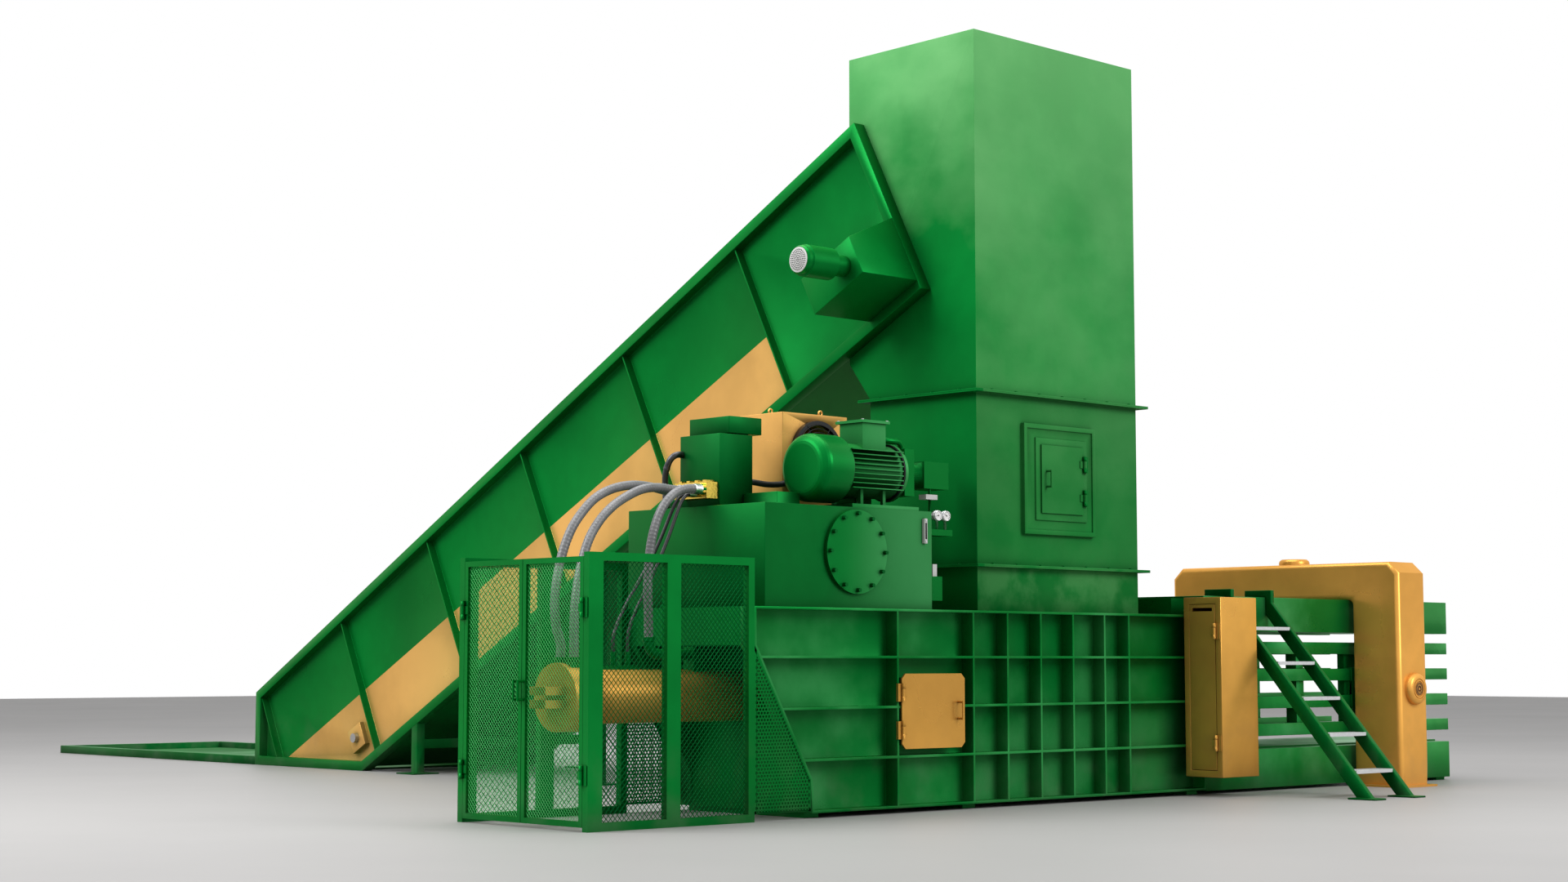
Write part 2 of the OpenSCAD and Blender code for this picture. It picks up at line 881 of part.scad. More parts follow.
// Fixed hinge halves with their pins, for all the doors
module hinge_pins() {
    place() color(STEEL) {
        both_sides()
            for (z = cage_hinge_z())
                translate([-cage_len - knuckle_r, -half_w + post, z])
                    rotate([0, 0, 90])
                        hinge_fixed();
        for (z = idoor_hinge_z())
            translate([idoor_x - gap, -half_w - idoor_t - knuckle_r, z])
                rotate([180, 0, 0])
                    hinge_fixed(idoor_t);
        for (z = tdoor_hinge_z())
            translate([tdoor_x + tdoor_w + gap, -tower_half - tdoor_frame_t - tdoor_t - knuckle_r, z])
                rotate([0, 0, 180])
                    hinge_fixed(tdoor_t);
        for (z = cab_hinge_z())
            translate([cab_x - knuckle_r, -half_w - cab_d + cab_lip, z])
                rotate([0, 0, 90])
                    hinge_fixed();
    }
}

// Inspection door

function idoor_hinge_z() = [idoor_z + idoor_h / 4, idoor_z + idoor_h * 3 / 4];

module inspection_door() {
    x1 = idoor_x + idoor_w;
    z1 = idoor_z + idoor_h;
    c = idoor_cut;
    place() color(GOLD) {
        along_y(-half_w - idoor_t, -half_w - gap)
            polygon([[idoor_x, idoor_z + c], [idoor_x + c, idoor_z], [x1 - c, idoor_z], [x1, idoor_z + c],
                [x1, z1 - c], [x1 - c, z1], [idoor_x + c, z1], [idoor_x, z1 - c]]);
        for (z = idoor_hinge_z())
            translate([idoor_x - gap, -half_w - idoor_t - knuckle_r, z])
                rotate([180, 0, 0])
                    hinge_leaf();
        translate([x1 - 2 * c, -half_w - idoor_t, idoor_z + idoor_h / 2])
            bar_handle();
    }
}

// Feed tower

module tower_tube(z) {
    span([tower_x, tower_end], [-tower_half, tower_half], z);
}

module tower_flange(z) {
    difference() {
        span([tower_x - flange_w, tower_end + flange_w], [-tower_half - flange_w, tower_half + flange_w],
            [z, z + flange_t]);
        for (p = flange_bolt_places())
            translate([p[0], p[1], z - 1])
                cylinder(h = flange_t + 2, d = bolt_d + 2 * run_fit);
    }
}

module tower_hollow(z) {
    span([throat_x, throat_end], [-tower_half + tower_wall, tower_half - tower_wall], z);
}

module tower_base() {
    place() color(GREEN)
        difference() {
            union() {
                tower_tube([press_h, flange_1]);
                tower_flange(flange_1 - flange_t);
            }
            tower_hollow([press_h - 1, flange_1 + 1]);
        }
}

module tower_mid() {
    y = -tower_half - tdoor_frame_t;
    place() color(GREEN)
        difference() {
            union() {
                tower_tube([flange_1, flange_2]);
                tower_flange(flange_1);
                tower_flange(flange_2 - flange_t);
                difference() {
                    span([tdoor_frame_x, tdoor_frame_x + tdoor_frame_w], [y, -tower_half],
                        [tdoor_frame_z, tdoor_frame_z + tdoor_frame_h]);
                    span([tdoor_frame_x + 40, tdoor_frame_x + tdoor_frame_w - 40], [y - 1, y + 14],
                        [tdoor_frame_z + 40, tdoor_frame_z + tdoor_frame_h - 40]);
                }
                span([tdoor_x - 60, tdoor_x + tdoor_w + 60], [y, -tower_half],
                    [tdoor_z - 60, tdoor_z + tdoor_h + 60]);
            }
            tower_hollow([flange_1 - 1, flange_2 + 1]);
            span([tdoor_x + tdoor_lap, tdoor_x + tdoor_w - tdoor_lap], [y - 1, 0],
                [tdoor_z + tdoor_lap, tdoor_z + tdoor_h - tdoor_lap]);
        }
}

// Upper section outline in (Y, Z), drawn in by t
module hood_outline(t) {
    near = -tower_half + t;
    polygon([[near, flange_2 - 1 + (t > 0 ? 0 : 1)], [tower_half - t, flange_2 - 1 + (t > 0 ? 0 : 1)],
        [tower_half - t, lean_z], [hood_y - t, hood_z], [hood_y - t, tower_top - t], [near, tower_top - t]]);
}

module tower_upper() {
    place() color(GREEN)
        difference() {
            union() {
                along_x(tower_x, tower_end)
                    hood_outline(0);
                tower_flange(flange_2);
            }
            along_x(throat_x, throat_end)
                hood_outline(tower_wall);
            span([throat_x, throat_end], [hood_y - tower_wall - 1, hood_y + 1],
                [conv_z(hood_y, panel_d), conv_z(hood_y, 0)]);
            in_conv()
                translate([0, drum_u, -drum_v])
                    rod_x(conv_x0, conv_x1, shaft_hole);
        }
}

function tdoor_hinge_z() = [tdoor_z + tdoor_h / 4, tdoor_z + tdoor_h * 3 / 4];

module tower_door() {
    y = -tower_half - tdoor_frame_t;
    place() color(GREEN) {
        span([tdoor_x, tdoor_x + tdoor_w], [y - tdoor_t, y - gap], [tdoor_z, tdoor_z + tdoor_h]);
        for (z = tdoor_hinge_z())
            translate([tdoor_x + tdoor_w + gap, y - tdoor_t - knuckle_r, z])
                rotate([0, 0, 180])
                    hinge_leaf();
        translate([tdoor_x + 60, y - tdoor_t, tdoor_z + tdoor_h / 2])
            bar_handle();
    }
}

module bolts() {
    place() color(STEEL) {
        for (z = [flange_1, flange_2], p = flange_bolt_places())
            translate([p[0], p[1], z + flange_t])
                bolt(2 * flange_t);
        for (p = cover_bolt_places())
            translate([p[0], tank_y - cover_t, p[1]])
                rotate([90, 0, 0])
                    bolt(cover_t);
    }
}

// Power pack

function cover_bolt_places() = [for (i = [0:cover_bolt_n - 1])
    [cover_x + (cover_d / 2 - 30) * cos(i * 360 / cover_bolt_n),
        cover_z + (cover_d / 2 - 30) * sin(i * 360 / cover_bolt_n)]];

module tank() {
    y = [tank_y, tank_y + tank_w];
    place() color(GREEN) {
        difference() {
            span([tank_x, tank_end], y, [press_h, tank_z]);
            span([tank_x + tank_wall, tank_end - tank_wall], [y[0] + tank_wall, y[1] - tank_wall],
                [press_h + tank_wall, tank_z - tank_wall]);
            translate([cover_x, 0, cover_z])
                rod_y(tank_y - 1, tank_y + tank_wall + 1, cover_hole);
        }
        span(plinth[0], plinth[1], [tank_z, tank_z + plinth[2]]);
    }
}

module tank_cover() {
    place() color(GREEN)
        difference() {
            translate([cover_x, 0, cover_z])
                rod_y(tank_y - cover_t, tank_y, cover_d);
            for (p = cover_bolt_places())
                translate([p[0], 0, p[1]])
                    rod_y(tank_y - cover_t - 1, tank_y + 1, bolt_d + 2 * run_fit);
        }
}

module valve_cabinet() {
    y = [vcab_y, vcab_y + vcab_w];
    top = tank_z + vcab_h;
    place() color(GREEN) {
        span([vcab_x, vcab_x + vcab_len], y, [tank_z, top]);
        span([vcab_x + vcab_shift, vcab_x + vcab_shift + vcab_len], y, [top + vcab_neck, top + vcab_lid]);
        span([vcab_x + vcab_shift + vcab_lap, vcab_x + vcab_len - vcab_lap],
            [y[0] + vcab_lap, y[1] - vcab_lap], [top, top + vcab_neck]);
    }
}

module valve_block() {
    x = [vcab_x - vblock_d, vcab_x];
    y = [vcab_y + 20, vcab_y + 20 + vblock_w];
    lug = 16;
    place() color(BRASS) {
        span(x, y, [vblock_z, vblock_z + vblock_h]);
        for (i = [0:3])
            span([x[0] + lug, x[1] - lug], [y[0] + 30 + i * 95, y[0] + 65 + i * 95],
                [vblock_z + vblock_h, vblock_z + vblock_h + lug]);
    }
}

module cooler() {
    y = [cooler_y, cooler_y + cooler_w];
    x = [cooler_x, cooler_x + cooler_len];
    z = [tank_z + cooler_foot, tank_z + cooler_h];
    eye_r = 26;
    eye_bar = 7;
    place() color(GOLD) {
        difference() {
            span(x, y, z);
            translate([fan_x, 0, fan_z])
                rod_y(y[0] - 1, y[1] - cooler_foot, 2 * fan_hole);
        }
        for (x0 = [x[0], x[1] - cooler_foot])
            span([x0, x0 + cooler_foot], y, [tank_z, z[0]]);
        difference() {
            translate([fan_x, 0, fan_z]) {
                rod_y(y[0] + fan_in + fan_boss, y[1] - cooler_foot, 2 * fan_hub_r);
                span([-fan_hole - 5, fan_hole + 5],
                    [y[0] + fan_in + fan_boss + 20, y[0] + fan_in + fan_boss + 60], [-20, 20]);
            }
            translate([fan_x, 0, fan_z])
                rod_y(y[0], y[0] + fan_in + 2 * fan_boss, 2 * (fan_shaft_r + run_fit));
        }
        for (p = [[x[0] + 40, y[0] + 190], [x[0] + 460, y[0] + 40]])
            translate([p[0], p[1], z[1] + eye_r - eye_bar])
                rotate([90, 0, 0])
                    rotate_extrude()
                        translate([eye_r - eye_bar, 0])
                            circle(eye_bar, $fn = 24);
    }
}

module cooler_shroud() {
    place() color(DARK)
        translate([fan_x, 0, fan_z])
            difference() {
                rod_y(cooler_y - shroud_t, cooler_y, 2 * shroud_r);
                rod_y(cooler_y - shroud_t - 1, cooler_y + 1, 2 * fan_hole);
            }
}

module cooler_fan() {
    hub = [cooler_y, cooler_y + fan_in + fan_boss - gap];
    place() color(DARK)
        translate([fan_x, 0, fan_z]) {
            rod_y(hub[0], hub[1], 2 * fan_hub_r);
            rod_y(hub[0], hub[1] + fan_boss / 2, 2 * fan_shaft_r);
            for (i = [0:fan_blades - 1])
                rotate([0, i * 360 / fan_blades, 0])
                    translate([0, cooler_y + fan_in, 0])
                        rotate([0, 0, 35])
                            span([-45, 45], [-3, 3], [fan_hub_r - 8, fan_r - 10]);
        }
}

module pump_motor() {
    r = motor_d / 2;
    x1 = motor_x0 + cowl_len;
    x2 = x1 + motor_body;
    mid = (x1 + x2) / 2 + term_shift;
    place() color(GREEN) {
        translate([0, motor_y, motor_z]) {
            rod_x(x1, x2, motor_d);
            rod_x(x2, x2 + end_ring_t, 2 * end_ring_r);
            translate([motor_x0, 0, 0])
                rotate([0, 90, 0])
                    rotate_extrude()
                        polygon(concat([[0, 0]], [for (a = [0:15:90])
                            [cowl_r - cowl_round * (1 - sin(a)), cowl_round * (1 - cos(a))]],
                            [[cowl_r, cowl_len], [0, cowl_len]]));
            for (side = [0, 1], i = [0:fin_n - 1])
                mirror([0, side, 0])
                    span([x1, x2 - 40], [0, r + fin_h],
                        [(i - (fin_n - 1) / 2) * 38 - fin_t / 2, (i - (fin_n - 1) / 2) * 38 + fin_t / 2]);
            span([mid - term_w / 2, mid + term_w / 2], [-term_w / 2, term_w / 2], [0, term_top - motor_z]);
        }
        span([mid - term_w / 2 - 25, mid + term_w / 2 + 25],
            [motor_y - term_w / 2 - 25, motor_y + term_w / 2 + 25], [term_top, term_top + 22]);
        for (x = [x1 + 180, x2 - 180], side = [-1, 1])
            span([x - 15, x + 15], [motor_y + side * 150 - 15, motor_y + side * 150 + 15],
                [tank_z + 30, motor_z - 100]);
        span([x1, pump_x + bell_len], [motor_y - 240, motor_y + 200], [tank_z, tank_z + 30]);
    }
}

// Coupling housing, pump, its pipe and the small boxes on the tank's end
module pump() {
    x1 = pump_x + bell_len;
    pipe_d = 50;
    bend = 60;
    pipe_x = motor_x0 + cowl_len + motor_body / 2 + term_shift + term_w / 2;
    pipe_z = motor_z + 265;
    place() color(GREEN) {
        span([pump_x, x1], [motor_y - 190, motor_y + 190], [motor_z - 190, motor_z + 190]);
        translate([0, motor_y, motor_z])
            rod_x(x1, x1 + coupling_len, 180);
        span([x1 + coupling_len, x1 + coupling_len + 290], [motor_y - 110, motor_y + 110], [motor_z - 110, motor_z + 110]);
        translate([x1 + 285, motor_y - 90, tank_z - 137])
            cylinder(h = motor_z - tank_z + 30, d = 24);
        span([x1 + 200, x1 + 335], [motor_y - 130, motor_y - 50], [motor_z - 200, motor_z - 160]);
        translate([0, motor_y, pipe_z])
            rod_x(pipe_x, x1 - 10, pipe_d);
        translate([x1 - 10, motor_y, pipe_z - bend])
            rotate([90, 0, 0])
                rotate_extrude(angle = 90)
                    translate([bend, 0])
                        circle(d = pipe_d);
        translate([x1 - 10 + bend, motor_y, motor_z])
            cylinder(h = pipe_z - bend - motor_z, d = pipe_d);
        span([tank_end, tank_end + 285], [tank_y + 40, tank_y + 200], [tank_z - 187, tank_z - 137]);
        span([tank_end, tank_end + 140], [tank_y + 20, tank_y + 160], [press_h + 75, press_h + 270]);
    }
}

// Two dial gauges on the bracket and the level gauge on the tank
module gauges() {
    dial_d = 86;
    place() color(STEEL) {
        for (x = [tank_end + 142, tank_end + 238]) {
            translate([x, tank_y + 80, tank_z - 137])
                cylinder(h = 90, d = 22);
            translate([x, 0, tank_z - 22])
                rod_y(tank_y + 62, tank_y + 98, dial_d);
        }
        span([tank_end - 110, tank_end - 78], [tank_y - 26, tank_y], [tank_z - 260, tank_z - 60]);
        span([tank_end + 60, tank_end + 110], [tank_y + 50, tank_y + 110], [press_h + 270, press_h + 370]);
    }
}

// Hoses

module hose_fittings() {
    $fn = 96;
    collar = 30;
    saddle = 130;
    place() color(GREEN) {
        for (p = [ROUTE_REAR_A[0], ROUTE_REAR_B[0], ROUTE_FRONT[0]])
            translate([0, p[1], p[2]])
                rod_x(p[0], vcab_x - vblock_d, hose_d + 14);
        for (p = [ROUTE_PILOT_A[0], ROUTE_PILOT_B[0]])
            translate([0, p[1], p[2]])
                rod_x(p[0], vcab_x - vblock_d, pilot_d + 6);
        tank_end_point = ROUTE_TANK[len(ROUTE_TANK) - 1];
        translate([tank_end_point[0], tank_end_point[1], tank_z])
            cylinder(h = tank_end_point[2] - tank_z, d = small_d + 24);
        difference() {
            union() {
                for (p = [port(ROUTE_REAR_A), port(ROUTE_REAR_B)]) {
                    translate([p[0], p[1], cyl_z])
                        cylinder(h = p[2] - cyl_z - collar, d = hose_d);
                    translate([p[0], p[1], p[2] - collar])
                        cylinder(h = collar, d = hose_d + 18);
                }
                span([port(ROUTE_REAR_A)[0] - 60, port(ROUTE_REAR_A)[0] + 60], [-saddle, saddle],
                    [cyl_z + 180, cyl_z + 258]);
            }
            translate([0, 0, cyl_z])
                rod_x(-cage_len, 0, cap_d + 2 * gap);
        }
        difference() {
            union() {
                for (p = [port(ROUTE_PILOT_A), port(ROUTE_PILOT_B)])
                    translate([p[0], p[1], cyl_z])
                        cylinder(h = p[2] - cyl_z, d = pilot_d + 16);
                span([port(ROUTE_PILOT_B)[0] - 60, port(ROUTE_PILOT_A)[0] + 60], [20, 190],
                    [cyl_z + 60, cyl_z + 230]);
                front_elbow();
            }
            translate([0, 0, cyl_z])
                rod_x(-cage_len, bulk_x, barrel_od + 2 * gap);
        }
    }
}

function port(route) = route[len(route) - 1];

// Elbow from the front hose to the port block on the barrel
module front_elbow() {
    p = port(ROUTE_FRONT);
    bend = 100;
    translate([p[0], p[1], p[2] - 30])
        cylinder(h = 30, d = hose_d + 24);
    translate([p[0] + bend, p[1], p[2] - 30])
        rotate([90, 0, 0])
            rotate([0, 0, 180])
                rotate_extrude(angle = 90)
                    translate([bend, 0])
                        circle(d = hose_d + 10);
    translate([0, p[1], p[2] - 30 - bend])
        rod_x(p[0] + bend, 0, hose_d + 10);
    span([0, 130], [p[1] - 60, p[1] + 60], [cyl_z + 100, p[2] - 70]);
}

module hose_rear_a() {
    place() color(HOSE) swept_hose(ROUTE_REAR_A, hose_d);
}

module hose_rear_b() {
    place() color(HOSE) swept_hose(ROUTE_REAR_B, hose_d);
}

module hose_front() {
    place() color(HOSE) swept_hose(ROUTE_FRONT, hose_d);
}

module hose_pilot_a() {
    place() color(DARK) swept_hose(ROUTE_PILOT_A, pilot_d);
}

module hose_pilot_b() {
    place() color(DARK) swept_hose(ROUTE_PILOT_B, pilot_d);
}

module hose_tank() {
    place() color(HOSE) swept_hose(ROUTE_TANK, small_d);
}

module hose_cooler() {
    place() color(DARK) swept_hose(ROUTE_COOLER, small_d);
}

// Conveyor; local X across, local Y down the slope, local Z up from the panel's upper edge

module in_conv() {
    translate([0, head_y, head_z])
        rotate([-conv_angle, 0, 0])
            children();
}

// Height of a line v below the panel's upper edge, at distance y from the press centreline
function conv_z(y, v) = head_z - (y - head_y) * tan(conv_angle) - v / cos(conv_angle);

// Panel blank between two X limits, drawn in by an inset on every edge
module panel_blank(x, inset) {
    intersection() {
        in_conv()
            span(x, [inset, conv_reach], [-panel_d + inset, -inset]);
        span([x[0] - 1, x[1] + 1], [-conv_reach, tail_y - inset], [inset, conv_reach]);
    }
}

module panel_near() {
    skin = [tower_x - panel_t, tower_x];
    outer = [conv_x0, tower_x - panel_t];
    difference() {
        union() {
            panel_blank(skin, 0);
            difference() {
                panel_blank(outer, 0);
                panel_blank([outer[0] - 1, outer[1] + 1], border_w);
            }
            intersection() {
                panel_blank([outer[0] + conv_rib_inset, outer[1]], border_w - 1);
                in_conv()
                    for (u = [conv_rib_pitch:conv_rib_pitch:conv_reach])
                        span([outer[0], outer[1]], [u - conv_rib_t / 2, u + conv_rib_t / 2], [-panel_d, 0]);
            }
            in_conv()
                for (u = [drum_u, tail_u])
                    span([outer[1] - bearing_t, outer[1]], [u - bearing_w / 2, u + bearing_w / 2],
                        [-drum_v - bearing_w / 2, -drum_v + bearing_w / 2]);
        }
        in_conv()
            for (u = [drum_u, tail_u])
                translate([0, u, -drum_v]) {
                    rod_x(conv_x0 - 1, tower_x + 1, shaft_d + 2 * run_fit);
                    rod_x(outer[1], tower_x + 1, shaft_hole);
                }
    }
}

module conveyor_panels() {
    place() color(GREEN) {
        panel_near();
        translate([2 * conv_mid, 0, 0])
            mirror([1, 0, 0])
                panel_near();
    }
}

module conveyor_deck() {
    x = [tower_x, tower_end];
    bed_v = drum_v - drum_r;
    bed_u1 = tail_u - drum_r - tube_d;
    place() color(GREEN)
        in_conv() {
            span(x, [bed_u0, bed_u1], [-bed_v - bed_t, -bed_v]);
            span(x, [pan_u0, pan_u1], [-pan_v - bed_t, -pan_v]);
            for (u = [bed_u0 + 2 * tube_d:conv_rib_pitch:bed_u1]) {
                translate([0, u, -drum_v])
                    rod_x(x[0], x[1], tube_d);
                for (t = [1:3])
                    translate([x[0] + t * tower_len / 4, 0, 0])
                        span([-web_t / 2, web_t / 2], [u - tube_d / 2, u + tube_d / 2],
                            [-drum_v, -bed_v - bed_t]);
            }
        }
}

// Closed belt outline in (Y, Z) of the conveyor's frame, at radius r round the drums
module belt_outline(r) {
    for (u = [drum_u, tail_u])
        translate([u, -drum_v])
            circle(r);
    translate([drum_u, -drum_v - r])
        square([tail_u - drum_u, 2 * r]);
}

module belt() {
    x = [conv_mid - belt_w / 2, conv_mid + belt_w / 2];
    place() color(DARK)
        in_conv() {
            difference() {
                along_x(x[0], x[1])
                    belt_outline(belt_out);
                along_x(x[0] - 1, x[1] + 1)
                    belt_outline(belt_in);
            }
            for (u = [drum_u + cleat_pitch / 2:cleat_pitch:tail_u]) {
                span(x, [u, u + cleat_t], [-drum_v + belt_out, -drum_v + belt_out + cleat_h]);
                span(x, [u, u + cleat_t], [-drum_v - belt_out - cleat_h, -drum_v - belt_out]);
            }
        }
}

module drum(x_shaft) {
    rod_x(conv_mid - belt_w / 2, conv_mid + belt_w / 2, 2 * drum_r);
    rod_x(x_shaft[0], x_shaft[1], shaft_d);
}

module head_drum() {
    place() color(STEEL)
        in_conv()
            translate([0, drum_u, -drum_v])
                drum([conv_x0 - 250, conv_x1]);
}

module tail_drum() {
    place() color(STEEL)
        in_conv()
            translate([0, tail_u, -drum_v])
                drum([conv_x0, conv_x1]);
}

module console_wedge(t) {
    x1 = conv_x0 + (t > 0 ? 1 : 0);
    translate([0, console_u - t, 0])
        rotate([90, 0, 0])
            linear_extrude(console_u - 2 * t)
                polygon([[x1, -console_v0 - t], [x1, -console_v1 + t],
                    [conv_x0 - console_len + t, -console_v1 + t],
                    [conv_x0 - console_len + t, -console_v2 - t]]);
}

module drive_console() {
    place() color(GREEN)
        in_conv()
            difference() {
                console_wedge(0);
                console_wedge(console_wall);
            }
}

module drive_motor() {
    x1 = conv_x0 - console_len;
    r = drive_d / 2;
    place() color(GREEN)
        in_conv()
            translate([x1, drive_u, -drive_v])
                rotate([0, -90, 0])
                    rotate_extrude()
                        polygon([[0, 0], [r - 45, 0], [r - 45, 150], [r, 170], [r, drive_len - 60],
                            [r - 12, drive_len - 50], [r - 12, drive_len - 20], [r - 25, drive_len],
                            [0, drive_len]]);
}

module trestles() {
    place() color(GREEN)
        for (y = trestle_y) {
            for (x = [conv_x0, conv_x1 - trestle_leg]) {
                along_x(x, x + trestle_leg)
                    polygon([[y, trestle_foot_t], [y + trestle_leg, trestle_foot_t],
                        [y + trestle_leg, conv_z(y + trestle_leg, panel_d) - gap],
                        [y, conv_z(y, panel_d) - gap]]);
                span([x + trestle_leg / 2 - trestle_foot, x + trestle_leg / 2 + trestle_foot],
                    [y + trestle_leg / 2 - trestle_foot, y + trestle_leg / 2 + trestle_foot],
                    [0, trestle_foot_t]);
            }
            span([conv_x0 + trestle_leg, conv_x1 - trestle_leg], [y, y + trestle_leg],
                [conv_z(y, panel_d) / 2, conv_z(y, panel_d) / 2 + trestle_leg]);
        }
}

module loading_kerb() {
    y1 = tail_y + kerb_len;
    place() {
        color(GREEN)
            difference() {
                span([conv_x0, conv_x1], [tail_y, y1], [0, kerb_h]);
                span([conv_x0 + kerb_w, conv_x1 - kerb_w], [tail_y - 1, y1 - kerb_w], [-1, kerb_h + 1]);
            }
        color(DARK) {
            span([conv_x0 + kerb_w, conv_x1 - kerb_w], [tail_y, y1 - kerb_w], [0, kerb_bed_t]);
            span([tower_x, tower_end], [tail_axis_y, tail_y + 1], [0, kerb_bed_t]);
        }
    }
}

// Bale channel

module channel_frame() {
    place() color(GREEN)
        difference() {
            union() {
                both_sides() {
                    span([chan_x, chan_end], [-half_w, -half_bore], [chan_foot, chan_base_z]);
                    span([chan_x, chan_end], [-half_w, -half_bore], [beam_z, beam_top]);
                    span([chan_x, chan_x + ring_t], [-half_w, -half_bore], [chan_foot, beam_top]);
                    span([chan_end - bearer_w - 40, chan_end - 40], [-half_w + 40, -half_bore],
                        [0, chan_foot]);
                }
                span([chan_x, chan_end], [-half_bore, half_bore], [floor_z - deck_t, floor_z]);
                span([chan_x, chan_x + ring_t], [-half_bore, half_bore], [beam_z, beam_top]);
                for (x = [chan_x + portal_at * 0.4, chan_end - 3 * chan_tie])
                    span([x, x + chan_tie], [-half_bore, half_bore], [beam_top - 60, beam_top]);
            }
            both_sides()
                translate([hinge_x, -wall_pivot_y, 0]) {
                    translate([0, 0, chan_base_z - pivot_in])
                        cylinder(h = pivot_in + 1, d = pivot_d + 2 * run_fit);
                    translate([0, 0, beam_z - 1])
                        cylinder(h = pivot_in + 1, d = pivot_d + 2 * run_fit);
                }
            translate([hinge_x, 0, pivot_z])
                rod_y(-half_bore - pivot_in, half_bore + pivot_in, pivot_d + 2 * run_fit);
        }
}

module squeeze_wall() {
    y = [-half_w + bar_inset, -half_bore];
    top = bar_z + (bar_n - 1) * bar_pitch + bar_h;
    for (i = [0:bar_n - 1])
        span([bar_x0, chan_end], y, [bar_z + i * bar_pitch, bar_z + i * bar_pitch + bar_h]);
    span([bar_x0, bar_x0 + 70], y, [bar_z, top]);
    span([brace_x, brace_x + 3 * tie_w], [-half_w + tie_w, -half_bore], [bar_z, top]);
    span([portal_mid - 260, portal_mid + 300], [-half_w + tie_w, -half_bore - tie_w], [bar_z, top]);
    span([portal_mid - plunger_d, portal_mid + plunger_d], [-half_w, -half_bore - tie_w],
        [cyl_z - plunger_d, cyl_z + plunger_d]);
    translate([hinge_x, -wall_pivot_y, chan_base_z - pivot_in + gap])
        cylinder(h = beam_z - chan_base_z + 2 * pivot_in - 2 * gap, d = pivot_d);
}

module squeeze_wall_near() {
    place() color(GREEN)
        squeeze_wall();
}

module squeeze_wall_far() {
    place() color(GREEN)
        mirror([0, 1, 0])
            squeeze_wall();
}

module squeeze_platen() {
    rib_top = 1560;
    place() color(GREEN) {
        span([platen_x0, chan_end], [-platen_half, platen_half], [platen_z, platen_z + platen_t]);
        for (y = [-platen_half, -rib_t, platen_half - 2 * rib_t])
            span([platen_x0, chan_end], [y, y + 2 * rib_t], [platen_z, rib_top]);
        span([portal_mid - plunger_d, portal_mid + plunger_d], [-plunger_d, plunger_d], [platen_z, pad_top]);
        translate([hinge_x, 0, pivot_z])
            rod_y(-half_bore - pivot_in + gap, half_bore + pivot_in - gap, pivot_d);
    }
}

// Squeeze frame

module portal_outline() {
    polygon([[-portal_half, foot_t], [-portal_half, portal_h - portal_cut_z],
        [-portal_half + portal_cut_y, portal_h], [portal_half - portal_cut_y, portal_h],
        [portal_half, portal_h - portal_cut_z], [portal_half, foot_t], [passage_half, foot_t],
        [passage_half, beam_top], [-passage_half, beam_top], [-passage_half, foot_t]]);
}

module end_cap() {
    r = end_cap_d / 2;
    difference() {
        rotate_extrude()
            polygon([[0, 0], [r, 0], [r, cap_rise * 0.45], [r * 0.95, cap_rise * 0.75], [r * 0.82, cap_rise],
                [0, cap_rise]]);
        for (i = [1:cap_ring_n])
            translate([0, 0, cap_rise - 8])
                difference() {
                    cylinder(h = 9, r = i * r * 0.15 + 6);
                    translate([0, 0, -1])
                        cylinder(h = 11, r = i * r * 0.15 - 4);
                }
    }
}

module portal() {
    inner = [portal_x + portal_wall, portal_x + portal_d - portal_wall];
    place() color(GOLD) {
        difference() {
            union() {
                along_x(portal_x, portal_x + portal_d)
                    portal_outline();
                both_sides()
                    span([portal_x - foot_lip, portal_x + portal_d + foot_lip],
                        [-portal_half - foot_lip, -passage_half], [0, foot_t]);
            }
            both_sides() {
                span(inner, [-portal_half + portal_wall, -passage_half - bush_t],
                    [2 * foot_t, beam_top - portal_wall]);
                translate([portal_mid, 0, cyl_z])
                    rod_y(-portal_half + portal_wall, -passage_half + 1, plunger_d + 2 * run_fit);
                for (x = anchor_x(), y = anchor_y())
                    translate([x, y, -1])
                        cylinder(h = foot_t + 2, d = anchor_d);
            }
            span(inner, [-portal_half + portal_cut_y, portal_half - portal_cut_y],
                [beam_top + bush_t, portal_h - portal_wall]);
            translate([portal_mid, 0, beam_top - 1])
                cylinder(h = bush_t + 2, d = plunger_d + 2 * run_fit);
        }
        both_sides()
            translate([portal_mid, -portal_half, cyl_z])
                rotate([90, 0, 0])
                    end_cap();
        translate([portal_mid, 0, portal_h])
            end_cap();
    }
}

function anchor_x() = [portal_x - anchor_inset, portal_x + portal_d + anchor_inset];
function anchor_y() = [-portal_half + 60, -passage_half - 60];

module side_plunger() {
    translate([portal_mid, 0, cyl_z])
        rod_y(-half_w - gap - plunger_len, -half_w - gap, plunger_d);
}

module plunger_near() {
    place() color(STEEL)
        side_plunger();
}

module plunger_far() {
    place() color(STEEL)
        mirror([0, 1, 0])
            side_plunger();
}

module plunger_top() {
    place() color(STEEL)
        translate([portal_mid, 0, pad_top + gap])
            cylinder(h = portal_h - portal_wall - plunger_room - pad_top, d = plunger_d);
}

// Control cabinet

function cab_hinge_z() = [cab_z + 300, cab_top - 300];

module cabinet_body() {
    y = [-half_w - cab_d, -half_w];
    x = [cab_x, cab_x + cab_len];
    z = [cab_z, cab_top];
    place() color(GOLD)
        difference() {
            span(x, y, z);
            span([x[0] + cab_door_t, x[1] - cab_wall], [y[0] + cab_wall, y[1] - cab_wall],
                [z[0] + cab_wall, z[1] - cab_wall]);
            span([x[0] - 1, x[1] - cab_wall], [y[0] + cab_lip, y[1] - cab_lip],
                [z[0] + cab_lip, z[1] - cab_lip]);
        }
}

